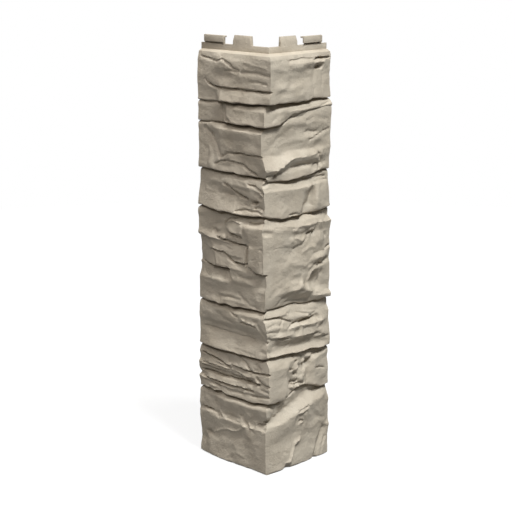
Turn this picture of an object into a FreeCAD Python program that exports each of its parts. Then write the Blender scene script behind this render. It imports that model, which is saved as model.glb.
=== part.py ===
import FreeCAD, Part
import math
import os
import random
import PartDesign
import Sketcher

os.makedirs("parts", exist_ok=True)

doc = FreeCAD.newDocument("stone_corner")
sheet = doc.addObject("Spreadsheet::Sheet", "Sizes")

# Driving dimensions in millimetres, with the note that stands beside each in the sheet
driving_sizes = [
    ("left_leg", 90.0, "stone face, wall corner to left end"),
    ("right_leg", 78.5, "stone face, wall corner to right end"),
    ("wall", 3.0, "thickness of the moulded skin"),
    ("back_gap", 2.0, "air between wall plane and skin behind a joint"),
    ("relief", 8.0, "mean height of the stone faces above the joints"),
    ("course_one", 43.5, "height of the top course of stones"),
    ("course_two", 21.5, "height of the second course"),
    ("course_three", 49.0, "height of the third course"),
    ("course_four", 39.0, "height of the fourth course"),
    ("course_five", 94.5, "height of the tall fifth course"),
    ("course_six", 48.5, "height of the sixth course"),
    ("course_seven", 46.0, "height of the seventh course"),
    ("course_eight", 73.0, "height of the bottom course"),
    ("ledge_height", 5.0, "sloping ledge above the top course"),
    ("ledge_step", 0.4, "ledge in front of the flange face"),
    ("flange_thickness", 3.0, "nailing flange"),
    ("flange_rise", 6.0, "flange above the ledge"),
    ("flange_lap", 3.5, "flange below the top of the ledge"),
    ("flange_left", 92.5, "wall corner to left end of the flange"),
    ("flange_right", 80.0, "wall corner to right end of the flange"),
    ("end_bevel", 2.4, "bevel at the flange ends, along the leg"),
    ("end_bevel_depth", 1.4, "bevel at the flange ends, into the flange"),
    ("tongue_height", 9.3, "inner tabs above the flange"),
    ("tongue_straight", 4.0, "inner tabs below their taper"),
    ("tongue_tip", 1.4, "inner tab thickness at its top"),
    ("tongue_slant", 1.0, "each side of an inner tab, bottom to top"),
    ("left_tongue_start", 20.5, "wall corner to left inner tab"),
    ("left_tongue_width", 26.0, "left inner tab"),
    ("right_tongue_start", 13.0, "wall corner to right inner tab"),
    ("right_tongue_width", 24.0, "right inner tab"),
    ("hook_height", 8.0, "outer tabs above the flange"),
    ("hook_wall", 1.6, "web, roof and lip of a hook"),
    ("hook_reach", 4.6, "wall plane to front of a hook lip"),
    ("hook_slot", 1.6, "slot between flange top and lip"),
    ("left_hook_start", 57.5, "wall corner to left hook lip"),
    ("left_hook_width", 28.0, "left hook lip"),
    ("right_hook_start", 44.0, "wall corner to right hook lip"),
    ("right_hook_width", 26.5, "right hook lip"),
    ("left_notch", 2.0, "left hook lip beside its web, on the corner side"),
    ("right_notch", 4.5, "right hook lip beside its web, on the corner side"),
    ("web_foot", 2.4, "hook web past the end of its lip"),
]
for row, (alias, value, note) in enumerate(driving_sizes, start=1):
    sheet.set("A%d" % row, note)
    sheet.set("B%d" % row, str(value))
    sheet.setAlias("B%d" % row, alias)
doc.recompute()


def size(alias):
    return float(sheet.get(alias))


# The stone relief is drawn at life size on two flat sheets, one for each leg.
# Along a sheet, 0 is the edge where the legs meet and the far end is the leg end.
# Heights on a sheet are above the wall plane, and up is measured from the base.
drawn_depth = 13.0
drawn_floor = 5.0
drawn_relief = 8.0
drawn_end = {"left": 103.0, "right": 91.5}
drawn_levels = [415.0, 371.5, 350.0, 301.0, 262.0, 167.5, 119.0, 73.0, 0.0]
course_aliases = [
    "course_one", "course_two", "course_three", "course_four",
    "course_five", "course_six", "course_seven", "course_eight",
]


def clamp(value):
    return max(0.0, min(1.0, value))


def ease(value):
    value = clamp(value)
    return value * value * (3.0 - 2.0 * value)


def line_height(line, along):
    """Height of a line of (along, up) points, level beyond its ends."""
    if along <= line[0][0]:
        return line[0][1]
    for (start, low), (end, high) in zip(line, line[1:]):
        if along <= end:
            return low + (high - low) * (along - start) / (end - start)
    return line[-1][1]


def edge_distance(along, up, line):
    nearest = 1e9
    for (start, low), (end, high) in zip(line, line[1:]):
        run, climb = end - start, high - low
        share = clamp(((along - start) * run + (up - low) * climb) / (run * run + climb * climb))
        gap = math.hypot(along - start - share * run, up - low - share * climb)
        nearest = min(nearest, gap)
    return nearest


def is_inside(along, up, outline):
    inside = False
    for (start, low), (end, high) in zip(outline, outline[1:]):
        if (low > up) != (high > up) and along < (end - start) * (up - low) / (high - low) + start:
            inside = not inside
    return inside


def patch(outline, rise, soft=3.0, lean=0.0):
    """A raised or sunken flake of stone, which leans outward going up by lean."""
    closed = outline + outline[:1]
    left = min(point[0] for point in outline) - soft
    right = max(point[0] for point in outline) + soft
    middle = sum(point[1] for point in outline) / len(outline)

    def height(along, up):
        if not left < along < right:
            return 0.0
        gap = edge_distance(along, up, closed)
        if not is_inside(along, up, closed):
            gap = -gap
        return ease(0.5 + 0.5 * gap / soft) * (rise + lean * (up - middle))

    return height


def dent(along_middle, up_middle, along_size, up_size, depth):
    def height(along, up):
        away = ((along - along_middle) / along_size) ** 2 + ((up - up_middle) / up_size) ** 2
        return -depth * clamp(1.0 - away) ** 1.5

    return height


def cleft(line, depth, width=3.0):
    """A split that follows a line."""
    def height(along, up):
        return -depth * clamp(1.0 - edge_distance(along, up, line) / width)

    return height


# Joint lines between the courses, from the top one down
joints = {
    "left": [
        [(0, 372.5), (30, 371), (70, 370.5), (95, 370)],
        [(0, 350), (30, 350.5), (60, 350), (95, 349.5)],
        [(0, 301), (15, 301), (50, 301.5), (95, 301.5)],
        [(0, 263.5), (5, 263.5), (20, 262), (40, 261), (70, 261), (95, 263)],
        [(0, 168.5), (5, 167.5), (40, 167), (50, 166), (60, 167.5), (70, 166)],
        [(0, 121.5), (10, 118.5), (50, 118), (95, 118)],
        [(0, 74.5), (20, 72), (60, 72), (68, 74), (78, 72), (85, 74), (93, 72.5)],
    ],
    "right": [
        [(0, 372.5), (50, 372), (67, 375), (85, 372.5)],
        [(0, 350), (22, 352.5), (28, 356), (33, 361), (45, 362), (60, 364), (76, 366)],
        [(0, 300), (5, 297.5), (30, 296), (55, 298), (65, 299.5), (85, 301.5)],
        [(0, 263.5), (8, 261), (20, 259.5), (50, 259.5), (70, 260.5), (85, 262.5)],
        [(0, 169.5), (10, 170.5), (45, 170.5), (50, 168.5), (60, 167.5), (90, 170)],
        [(0, 121.5), (20, 121), (40, 120), (60, 120), (75, 118), (90, 118)],
        [(0, 74.5), (20, 73), (30, 76), (40, 80), (50, 84), (60, 82), (80, 76.5)],
    ],
}

# Upright sections of each course, drawn at places along the leg as (up, height) points
sections = {
    "left": [
        [
            (4, [(372, 13.6), (379, 13.4), (384, 12.2), (390, 12.2), (415, 12.4)]),
            (45, [
                (372, 14.6), (378, 14.0), (383, 11.6), (388, 11.6),
                (400, 12.6), (411, 12.4), (415, 10.6),
            ]),
            (70, [(372, 13.4), (378, 13.0), (383, 11.0), (405, 11.8), (415, 10.0)]),
            (78, [(372, 10.4), (384, 10.4), (405, 11.2), (415, 9.6)]),
            (103, [(372, 9.8), (409, 9.6), (415, 8.0)]),
        ],
        [
            (4, [(350, 16.0), (364, 15.6), (371, 12.6)]),
            (30, [(350, 15.8), (364, 14.8), (371, 11.0)]),
            (56, [(350, 15.4), (364, 14.0), (371, 10.0)]),
            (68, [(350, 10.0), (362, 10.2), (371, 10.4)]),
            (103, [(350, 8.8), (369, 9.3)]),
        ],
        [
            (6, [(301, 10.8), (310, 14.2), (319, 14.6), (322, 16.0), (345, 16.4)]),
            (45, [(301, 12.8), (310, 11.4), (318, 12.2), (322, 12.8), (324, 13.8), (344, 14.4)]),
            (68, [(301, 12.0), (310, 11.4), (322, 12.6), (344, 13.4)]),
            (84, [(301, 10.6), (322, 9.4), (338, 8.8), (346, 10.4)]),
            (103, [(304, 9.4), (312, 8.5), (338, 8.7), (345, 9.3)]),
        ],
        [
            (7, [(262, 14.4), (272, 13.0), (284, 14.0), (291, 14.2), (300, 8.0)]),
            (30, [(262, 14.6), (273, 11.8), (280, 12.4), (288, 13.8), (300, 7.6)]),
            (55, [(262, 14.2), (276, 11.8), (283, 11.8), (291, 13.4), (300, 8.6)]),
            (80, [(262, 12.6), (276, 10.8), (285, 9.6), (291, 10.2), (300, 9.2)]),
            (103, [(264, 10.4), (270, 9.9), (276, 8.9), (282, 7.4), (288, 6.5), (300, 6.5)]),
        ],
        [
            (7, [
                (168, 13.4), (187, 13.0), (192, 10.8), (204.5, 11.2),
                (206, 15.8), (249, 16.2), (255, 10.4), (260, 9.0),
            ]),
            (27, [
                (168, 13.0), (189, 12.8), (204, 12.6), (213, 15.0),
                (249, 15.4), (255, 10.2), (260, 9.4),
            ]),
            (32, [
                (168, 13.0), (189, 12.8), (204, 12.2), (211, 11.6), (213, 12.8),
                (230, 11.6), (232.5, 14.0), (249, 15.0), (255, 10.2), (260, 9.6),
            ]),
            (58, [
                (168, 12.8), (190, 12.8), (203, 10.4), (205, 11.4), (217, 11.2), (220, 12.6),
                (230, 11.4), (233, 13.8), (242, 13.0), (255, 10.6), (260, 10.4),
            ]),
            (80, [
                (168, 11.4), (191, 12.0), (202, 7.6), (204.5, 10.4), (220, 11.6),
                (231, 12.4), (233, 13.2), (240, 9.8), (260, 9.6),
            ]),
            (103, [
                (168, 8.6), (189, 8.6), (192, 7.4), (197, 5.4), (202, 5.2), (205, 7.4),
                (216, 7.8), (231, 9.0), (235, 10.4), (241, 8.8), (250, 9.0), (256, 10.0),
            ]),
        ],
        [
            (5, [(119, 13.4), (131, 12.0), (137, 10.6), (147, 13.8), (163, 14.2)]),
            (30, [(119, 14.4), (138, 9.6), (150, 13.2), (163, 13.6)]),
            (60, [(119, 14.2), (138, 9.6), (147, 12.0), (163, 12.8)]),
            (85, [(119, 12.2), (138, 8.8), (144, 10.4), (163, 11.0)]),
            (103, [(119, 9.4), (136, 8.4), (142, 8.2), (147, 9.0), (158, 9.2)]),
        ],
        [
            (2, [(74, 13.2), (90, 11.6), (93, 12.0), (104, 11.4), (118, 10.6)]),
            (30, [
                (74, 12.4), (79, 11.4), (84, 12.2), (90, 9.8),
                (97, 12.6), (103, 11.6), (110, 11.8), (118, 9.0),
            ]),
            (60, [
                (74, 12.2), (79, 11.0), (83, 12.0), (90, 8.8),
                (98, 12.6), (103, 10.6), (108, 11.4), (118, 7.8),
            ]),
            (85, [
                (74, 11.0), (79, 10.4), (83, 11.6), (90, 8.2),
                (98, 11.8), (104, 8.8), (109, 11.4), (118, 7.8),
            ]),
            (103, [
                (74, 8.8), (78, 8.8), (83.5, 11.1), (86, 6.4), (89, 8.6), (93, 10.2),
                (99, 10.4), (102, 8.0), (106, 8.2), (110, 9.8), (115, 7.4),
            ]),
        ],
        [
            (5, [(0, 15.2), (44, 15.0), (49, 13.6), (54, 11.6), (60, 14.2), (68, 14.6)]),
            (30, [(0, 13.8), (30, 13.2), (43, 13.8), (48, 11.6), (53, 12.0), (68, 13.4)]),
            (60, [
                (0, 13.8), (20, 12.8), (34, 11.8), (40, 12.0),
                (45, 13.8), (50, 10.8), (68, 12.6),
            ]),
            (86, [
                (0, 12.0), (14, 10.8), (26, 10.0), (40, 10.8),
                (46, 12.2), (51, 9.8), (60, 10.8), (68, 10.2),
            ]),
            (103, [
                (0, 9.3), (9, 8.5), (17, 6.5), (24, 7.3), (30, 8.7),
                (40, 10.0), (46, 10.0), (49, 8.8), (54, 10.0), (65, 8.8),
            ]),
        ],
    ],
    "right": [
        [
            (0, [(372, 15.6), (400, 15.0), (415, 14.6)]),
            (45, [(372, 14.0), (380, 13.6), (395, 12.0), (409, 13.2), (415, 10.4)]),
            (70, [(372, 12.6), (385, 10.8), (402, 8.8), (410, 11.6), (415, 8.6)]),
            (91, [(372, 9.5), (385, 7.5), (397, 7.3), (403, 7.8), (413, 8.7)]),
        ],
        [
            (-3, [(350, 9.4), (362, 9.0), (371, 7.2)]),
            (16, [(350, 13.8), (362, 13.0), (371, 8.0)]),
            (26, [(352, 10.4), (364, 12.6), (371, 8.0)]),
            (45, [(357, 11.0), (362, 12.2), (371, 8.0)]),
            (91, [(362, 10.6), (366, 11.2), (371, 8.6)]),
        ],
        [
            (-2, [(299, 7.4), (304, 8.4), (309, 9.8), (322, 5.6), (330, 5.4), (350, 5.4)]),
            (12, [(298, 9.0), (303, 9.6), (308, 14.4), (322, 7.6), (330, 7.0), (350, 8.0)]),
            (34, [
                (297, 13.4), (305, 11.2), (309, 9.6), (316.6, 14.8), (326, 8.6),
                (334, 9.4), (340, 8.6), (352, 11.8), (358, 9.8), (364, 10.6),
            ]),
            (66, [
                (298, 13.0), (306, 11.4), (310, 9.4), (317, 14.4), (327, 9.6),
                (336, 12.2), (341, 9.8), (350, 12.6), (364, 10.6),
            ]),
            (91, [(301, 7.8), (313, 7.8), (323, 9.8), (335, 8.8), (341, 9.8), (363, 10.2)]),
        ],
        [
            (-2, [(262, 7.2), (288, 6.4), (296, 5.8)]),
            (20, [(260, 12.4), (287, 10.6), (291, 8.0), (296, 7.6)]),
            (46, [(260, 14.4), (287, 12.6), (292, 8.0), (296, 7.6)]),
            (57, [(260, 7.4), (268, 7.8), (280, 12.0), (287, 12.2), (292, 8.0), (297, 7.6)]),
            (68, [(261, 12.6), (276, 12.2), (289, 9.6), (292, 7.8), (299, 7.2)]),
            (91, [(264, 8.8), (276, 8.6), (285, 7.8), (291, 6.3), (299, 6.2)]),
        ],
        [
            (-2, [(170, 7.2), (176, 8.4), (206, 8.2), (249, 8.4), (254, 6.0), (259, 5.6)]),
            (20, [
                (171, 8.4), (175, 9.4), (184, 11.8), (230, 11.6),
                (249, 12.4), (255, 7.2), (259, 7.0),
            ]),
            (40, [
                (171, 6.0), (174, 6.4), (185, 14.8), (195, 12.2), (210, 12.4), (227, 10.0),
                (233, 12.6), (240, 11.4), (249, 14.0), (255, 7.0), (259, 6.8),
            ]),
            (58, [
                (170, 6.4), (173, 7.0), (180, 14.6), (190, 11.4), (203, 12.2), (214, 13.6),
                (228, 12.8), (239, 9.4), (249, 14.0), (255, 7.0), (259, 6.8),
            ]),
            (75, [
                (169, 8.6), (174, 13.4), (182, 8.4), (198, 9.4), (204, 12.4), (207, 9.2), (213, 14.0),
                (222, 12.0), (231, 13.2), (241, 9.4), (249, 13.6), (255, 6.4), (259, 6.2),
            ]),
            (91, [
                (168, 11.4), (173, 12.4), (177, 9.0), (190, 9.6), (205, 10.0), (210, 8.5),
                (221, 10.3), (231, 9.0), (242, 10.0), (249, 11.9), (254, 5.8), (258, 6.2),
            ]),
        ],
        [
            (-2, [
                (121, 13.0), (126, 10.8), (134, 11.2), (140, 9.2),
                (147, 11.4), (160, 8.2), (166, 6.2),
            ]),
            (16, [
                (120, 13.4), (127, 8.6), (134, 8.6), (140.5, 13.4),
                (148, 13.0), (159, 9.6), (161, 10.0), (167, 6.2),
            ]),
            (40, [
                (120, 13.8), (125, 9.0), (129, 8.0), (135, 13.6),
                (147, 13.8), (152, 10.0), (158, 11.4), (167, 5.8),
            ]),
            (62, [
                (120, 13.8), (125, 9.4), (129, 8.2), (136.4, 14.4),
                (147, 13.8), (151, 9.4), (156, 12.4), (166, 5.8),
            ]),
            (80, [
                (119, 13.0), (124, 10.4), (131, 12.6), (140, 10.8),
                (147, 12.6), (152, 10.8), (160, 7.6), (167, 5.8),
            ]),
            (91, [
                (119, 10.7), (127, 11.5), (137, 10.2), (146, 9.0),
                (155, 9.0), (161, 5.8), (167, 6.0),
            ]),
        ],
        [
            (2, [(75, 14.6), (108, 13.6), (112, 12.8), (118, 8.8)]),
            (28, [(76, 14.2), (90, 13.2), (111, 12.2), (118, 7.4)]),
            (37, [(80, 8.6), (90, 8.2), (104, 10.8), (112, 11.2), (118, 7.6)]),
            (52, [(84, 11.4), (94, 12.0), (104, 9.0), (112, 8.4), (118, 8.0)]),
            (60, [(84, 9.4), (98, 9.4), (108, 9.0), (112, 10.8), (118, 7.6)]),
            (68, [(82, 13.0), (110, 12.8), (115, 8.4), (118, 7.4)]),
            (91, [(77, 8.9), (93, 8.9), (105, 7.6), (112, 8.5)]),
        ],
        [
            (-2, [(0, 11.4), (46, 11.2), (50, 9.6), (54, 6.4), (58, 8.6), (68, 8.6), (73, 6.6)]),
            (16, [(0, 13.4), (30, 12.4), (50, 14.0), (57, 6.4), (66, 8.0), (72, 8.0)]),
            (40, [(0, 13.8), (36, 11.4), (56, 14.6), (67, 6.0), (76, 6.4)]),
            (60, [(0, 12.8), (34, 11.4), (62, 14.4), (73, 5.6), (80, 6.0)]),
            (80, [(0, 10.8), (34, 11.4), (68, 13.0), (76, 5.6), (78, 5.6)]),
            (91, [
                (0, 9.8), (21, 9.0), (28, 10.5), (33, 11.5), (38, 9.8),
                (48, 9.8), (55, 9.0), (61, 10.2), (67, 8.0), (72, 5.8),
            ]),
        ],
    ],
}

# Rounding of each course below its upper joint and above its lower joint
rounding = {
    "left": [(4, 3), (4, 3), (5, 3), (6, 3), (5, 3), (6, 3), (4, 3), (5, 3)],
    "right": [(4, 4), (4, 3), (4, 3), (8, 3), (7, 5), (8, 4), (7, 4), (6, 3)],
}

# Splits inside a course that a row of the surface follows
splits = {
    ("left", 0): [(0, 384), (35, 384), (70, 384.6), (80, 385.4), (93, 387.5)],
    ("left", 2): [(0, 322), (60, 322), (93, 320)],
    ("left", 4): [(0, 205), (93, 204)],
    ("left", 6): [(0, 92), (20, 91.5), (93, 90.5)],
}


def broken_stone(leg, course):
    """The splits, flakes and hollows of one course on one leg that its sections don't draw."""
    marks = {
        ("left", 0): [
            cleft([(-8, 384), (35, 384), (70, 384.6), (80, 385.4), (92, 392)], 3.0),
            patch([(104, 388), (74, 383), (72, 371), (104, 371)], -1.2),
        ],
        ("right", 0): [dent(74, 405, 8, 4.6, 2.2)],
        ("right", 1): [dent(12, 369, 9, 3, 1.0)],
        ("left", 2): [
            cleft([(14, 301), (20, 304.5), (30, 308.5), (36, 312), (60, 313), (70, 311.5)], 1.2),
            dent(82, 338, 8, 7, 1.8),
        ],
        ("right", 2): [
            cleft([(58, 333), (66, 335.6), (80, 340.4), (90, 342)], 1.4),
            dent(67, 305, 5, 3, 1.6),
        ],
        ("left", 3): [
            cleft([(22, 279.5), (40, 278.5), (50, 281.5), (58, 285.5), (70, 288)], 1.6),
            dent(19, 275, 8, 3.2, 3.2),
        ],
        ("right", 3): [
            patch([(67, 290), (88, 290.6), (90, 262), (62, 262), (66, 277)], 1.2, 2.2),
            cleft([(-10, 292), (-2, 293), (6, 296)], 2.4),
        ],
        ("left", 4): [
            cleft([(29.5, 231), (29, 222), (27.5, 214)], 2.0),
            patch([(56, 203), (51, 192), (20, 192), (20, 205), (44, 207)], 1.4),
            patch([(62, 245), (60, 251), (54, 254.6), (34, 255.6), (36, 240), (50, 241)], 1.3),
            patch([(104, 232), (88, 232), (82, 218), (74, 205), (104, 205)], -1.0, 2.6),
        ],
        ("right", 4): [
            dent(69, 188, 11, 11.5, 2.6),
            dent(78, 196, 3, 5, 1.4),
            cleft([(56, 239.6), (62, 242.4), (68, 240.6)], 2.6),
            patch([(76, 250), (72, 240), (70, 228), (78, 226), (84, 240)], 0.9),
        ],
        ("left", 5): [
            cleft([(16, 149), (22, 150.6), (30, 151.4), (40, 152)], 1.4),
            cleft([(-14, 135.6), (0, 136), (5, 137)], 1.8),
        ],
        ("right", 5): [
            cleft([(-12, 160), (16, 160.4), (22, 158.4), (36, 153)], 1.6),
            cleft([(48, 150), (58, 151.8), (70, 153)], 2.6),
        ],
        ("left", 6): [
            cleft([(99, 91), (60, 90.2), (24, 91.4), (12, 92)], 2.8, 4.0),
            cleft([(54, 100), (64, 104.6), (72, 106.6), (84, 108.4), (99, 109.6)], 1.8),
        ],
        ("right", 6): [
            cleft([(31, 83), (33, 89), (38, 91), (44, 90)], 2.2, 2.4),
            dent(39.5, 98, 4.0, 4.0, 2.6),
            patch([(2, 113), (30, 113), (36, 92), (30, 82), (22, 76), (2, 77)], 0.9),
        ],
        ("left", 7): [
            patch([(84, 24), (70, 31), (60, 34), (44, 34.6), (34, 40), (28, 30), (60, 22)], -1.1),
            cleft([(-12, 57), (-2, 55), (4, 53), (10, 51.6), (16, 50.4)], 3.2),
            dent(89, 25, 7, 3.4, 2.4),
        ],
        ("right", 7): [
            patch([(-14, 71), (4, 71), (8, 66), (6, 57), (-14, 57)], 2.6, 2.6),
            patch([(47, 26), (38, 22), (34, 12), (32, 0), (72, 0), (66, 20)], -0.9, 5.0),
            cleft([(84, 30), (79, 20), (73, 8), (70, 0)], 2.0, 3.4),
        ],
    }
    return marks.get((leg, course), [])


class Roughness:
    """Smooth seeded unevenness between -1 and 1."""

    def __init__(self, seed):
        source = random.Random(seed)
        self.count = 64
        self.knots = [source.uniform(-1, 1) for _ in range(self.count * self.count)]

    def at(self, across, up):
        column, row = math.floor(across), math.floor(up)
        right, above = ease(across - column), ease(up - row)

        def knot(i, j):
            return self.knots[(i % self.count) * self.count + j % self.count]

        low = knot(column, row) * (1 - right) + knot(column + 1, row) * right
        high = knot(column, row + 1) * (1 - right) + knot(column + 1, row + 1) * right
        return low * (1 - above) + high * above


class StoneFace:
    """The drawn relief of one leg."""

    def __init__(self, leg, seed):
        self.leg = leg
        self.rough = Roughness(seed)
        self.marks = [broken_stone(leg, course) for course in range(len(course_aliases))]

    def joint(self, number, along):
        """Joint 0 is the upper edge of the top course and the last one is the base."""
        if number == 0:
            return drawn_levels[0]
        if number == len(course_aliases):
            return drawn_levels[-1]
        return line_height(joints[self.leg][number - 1], along)

    def section_height(self, course, along, up):
        """Height between the two drawn sections beside a place."""
        drawn = sections[self.leg][course]
        face_line = [(place, line_height(section, up)) for place, section in drawn]
        return line_height(face_line, along)

    def height(self, course, along, up):
        top, bottom = self.joint(course, along), self.joint(course + 1, along)
        face = self.section_height(course, along, up)
        for mark in self.marks[course]:
            face += mark(along, up)
        face += 0.5 * self.rough.at(along / 14.0 + 3 * course, up / 9.0 + 7 * course)
        upper, lower = rounding[self.leg][course]
        share = 1.0
        if course > 0:
            share *= 1.0 - (1.0 - clamp((top - up) / upper)) ** 2.2
        if course < len(course_aliases) - 1:
            share *= 1.0 - (1.0 - clamp((up - bottom) / lower)) ** 2.6
        return drawn_floor + (face - drawn_floor) * share


stone = {"left": StoneFace("left", 3), "right": StoneFace("right", 8)}


def row_plan(spacing, close_gaps):
    """Rows of the surface from the base up, crowded beside the joints.

    Each row is its course, the gap above the lower joint or below the upper one,
    and its share of what lies between the crowded rows.
    """
    rows = []
    for course in reversed(range(len(course_aliases))):
        clear = drawn_levels[course] - drawn_levels[course + 1] - 2.0 * close_gaps[-1]
        count = max(1, round(clear / spacing))
        rows += [(course, gap, 0.0) for gap in [0.0] + close_gaps]
        rows += [(course, close_gaps[-1], k / count) for k in range(1, count)]
        rows += [(course, gap, 1.0) for gap in reversed(close_gaps)]
    rows.append((0, 0.0, 1.0))
    return rows


def row_up(face, row, along):
    """Drawn height of a row at a place along a leg."""
    course, gap, share = row
    low, high = face.joint(course + 1, along), face.joint(course, along)
    usual = drawn_levels[course] - drawn_levels[course + 1]
    gap *= min(1.0, (high - low) / usual)
    up = low + gap + (high - low - 2.0 * gap) * share
    split = splits.get((face.leg, course))
    if split:
        middle = (split[0][1] - drawn_levels[course + 1]) / usual
        if abs((up - low) / (high - low) - middle) <= 0.5 * row_spacing / usual:
            up = line_height(split, along)
    return up


row_spacing = 6.0
front_rows = row_plan(row_spacing, [1.2, 3.4])
back_rows = row_plan(1.5 * row_spacing, [2.8])
front_step = 4.9
back_step = 7.2


# Real size: each course is stretched from the drawing to its own height in the sheet
course_heights = [size(alias) for alias in course_aliases]
levels = [sum(course_heights[course:]) for course in range(len(course_heights))] + [0.0]
stone_top = levels[0] + size("ledge_height")
leg_length = {"left": size("left_leg"), "right": size("right_leg")}
joint_floor = size("wall") + size("back_gap")
stone_depth = joint_floor + size("relief")


def real_up(up):
    for course in range(len(course_heights)):
        high, low = drawn_levels[course], drawn_levels[course + 1]
        if up >= low or course == len(course_heights) - 1:
            share = (up - low) / (high - low)
            return levels[course + 1] + share * (levels[course] - levels[course + 1])


def drawn_up(up):
    for course in range(len(course_heights)):
        high, low = levels[course], levels[course + 1]
        if up >= low or course == len(course_heights) - 1:
            share = (up - low) / (high - low)
            return drawn_levels[course + 1] + share * (drawn_levels[course] - drawn_levels[course + 1])


def drawn_along(leg, along):
    return (along + stone_depth) * drawn_end[leg] / (leg_length[leg] + stone_depth)


def front_height(leg, course, along, up):
    """Real height of the stone above the wall plane."""
    face = stone[leg]
    across = drawn_along(leg, along)
    on_sheet = drawn_up(up)
    drawn = face.height(course, across, on_sheet)
    return joint_floor + (drawn - drawn_floor) * size("relief") / drawn_relief


def ledge_height_at(share, face):
    """The ledge slopes from the stone face back to the flange."""
    front = size("flange_thickness") + size("ledge_step")
    return face + (front - face) * share ** 1.15


def surface_height(leg, along, up):
    """Height of the whole front, the ledge too, at any place."""
    if up > levels[0]:
        share = clamp((up - levels[0]) / size("ledge_height"))
        return ledge_height_at(share, front_height(leg, 0, along, levels[0]))
    face = stone[leg]
    across, on_sheet = drawn_along(leg, along), drawn_up(up)
    course = 0
    while course < len(course_heights) - 1 and on_sheet < face.joint(course + 1, across):
        course += 1
    return front_height(leg, course, along, up)


def skin_back(leg, along, up):
    """The back keeps the wall thickness square to the front all over."""
    wall = size("wall")
    lowest = 1e9
    for part in (0.0, 0.55, 0.9):
        gap = part * wall
        rise = math.sqrt(wall * wall - gap * gap)
        turns = 1 if part == 0.0 else 8
        for turn in range(turns):
            angle = 2.0 * math.pi * turn / turns
            place = along + gap * math.cos(angle)
            level = max(0.0, min(stone_top, up + gap * math.sin(angle)))
            lowest = min(lowest, surface_height(leg, place, level) - rise)
    return max(lowest, size("ledge_step"))


def column_places(leg, corner, spacing):
    length = leg_length[leg] + stone_depth
    count = max(4, round(length / spacing))
    return [corner + (leg_length[leg] - corner) * k / count for k in range(count + 1)]


def grid(rows, spacing, height):
    """Points of one side of the skin, from the left end round the corner to the right."""
    ledge_shares = [0.45, 1.0]
    lines = []
    for row in rows + ledge_shares:
        if row in ledge_shares:
            def up_at(leg, along, share=row):
                return levels[0] + share * size("ledge_height")
        else:
            def up_at(leg, along, row=row):
                return real_up(row_up(stone[leg], row, drawn_along(leg, along)))

        corner = {"left": stone_depth, "right": stone_depth}
        for _ in range(3):
            left_up = up_at("left", -corner["right"])
            right_up = up_at("right", -corner["left"])
            corner = {
                "left": height("left", -corner["right"], left_up),
                "right": height("right", -corner["left"], right_up),
            }
        corner_up = 0.5 * (up_at("left", -corner["right"]) + up_at("right", -corner["left"]))
        points = []
        for along in reversed(column_places("left", -corner["right"], spacing)[1:]):
            up = up_at("left", along)
            points.append(FreeCAD.Vector(-height("left", along, up), along, up))
        points.append(FreeCAD.Vector(-corner["left"], -corner["right"], corner_up))
        for along in column_places("right", -corner["left"], spacing)[1:]:
            up = up_at("right", along)
            points.append(FreeCAD.Vector(along, -height("right", along, up), up))
        lines.append(points)
    return lines


def triangle(first, second, third):
    return Part.Face(Part.makePolygon([first, second, third, first]))


def sheet_faces(lines, outward):
    """Two triangles in each cell of a grid of points."""
    made = []
    for lower, upper in zip(lines, lines[1:]):
        for k in range(len(lower) - 1):
            a, b, c, d = lower[k], lower[k + 1], upper[k + 1], upper[k]
            cells = [(a, b, c), (a, c, d)]
            if a.distanceToPoint(c) > b.distanceToPoint(d):
                cells = [(a, b, d), (b, c, d)]
            for cell in cells:
                made.append(triangle(*(cell if outward else reversed(cell))))
    return made


def rim_face(front, back):
    """The flat cut between the front and the back of the skin."""
    outline = front + list(reversed(back))
    return Part.Face(Part.makePolygon(outline + outline[:1]))


def stone_skin():
    front = grid(front_rows, front_step, surface_height)
    back = grid(back_rows, back_step, skin_back)
    made = sheet_faces(front, True) + sheet_faces(back, False)
    made.append(rim_face(front[0], back[0]))
    made.append(rim_face(front[-1], back[-1]))
    made.append(rim_face([line[0] for line in front], [line[0] for line in back]))
    made.append(rim_face([line[-1] for line in front], [line[-1] for line in back]))
    shell = Part.Shell(made)
    shell.sewShape()
    solid = Part.Solid(shell)
    if solid.Volume < 0:
        solid.reverse()
    return solid


def make_skin():
    skin = doc.addObject("Part::Feature", "StoneSkin")
    skin.Label = "stone_skin"
    skin.Shape = stone_skin()
    skin.Placement = FreeCAD.Placement()
    return skin


def origin_plane(body, role):
    for feature in body.Origin.OriginFeatures:
        if feature.Role == role:
            return feature


def outline_sketch(body, name, role, corners, offset):
    """A closed outline with each corner placed by a pair of formulas."""
    sketch = body.newObject("Sketcher::SketchObject", name)
    sketch.AttachmentSupport = [(origin_plane(body, role), "")]
    sketch.MapMode = "FlatFace"
    sketch.setExpression("AttachmentOffset.Base.z", offset)
    count = len(corners)
    turns = [2.0 * math.pi * k / count for k in range(count + 1)]
    rough = [FreeCAD.Vector(9.0 * math.cos(turn), 9.0 * math.sin(turn), 0) for turn in turns]
    for start, end in zip(rough, rough[1:]):
        sketch.addGeometry(Part.LineSegment(start, end), False)
    for k in range(count):
        sketch.addConstraint(Sketcher.Constraint("Coincident", k, 2, (k + 1) % count, 1))
    for k, (across, up) in enumerate(corners):
        for kind, formula in (("DistanceX", across), ("DistanceY", up)):
            index = sketch.addConstraint(Sketcher.Constraint(kind, -1, 1, k, 1, 1.0))
            sketch.setExpression("Constraints[%d]" % index, formula)
    return sketch


def pad(body, name, role, corners, offset, length):
    sketch = outline_sketch(body, name + "Outline", role, corners, offset)
    feature = body.newObject("PartDesign::Pad", name)
    feature.Profile = sketch
    feature.setExpression("Length", length)
    return feature


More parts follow.
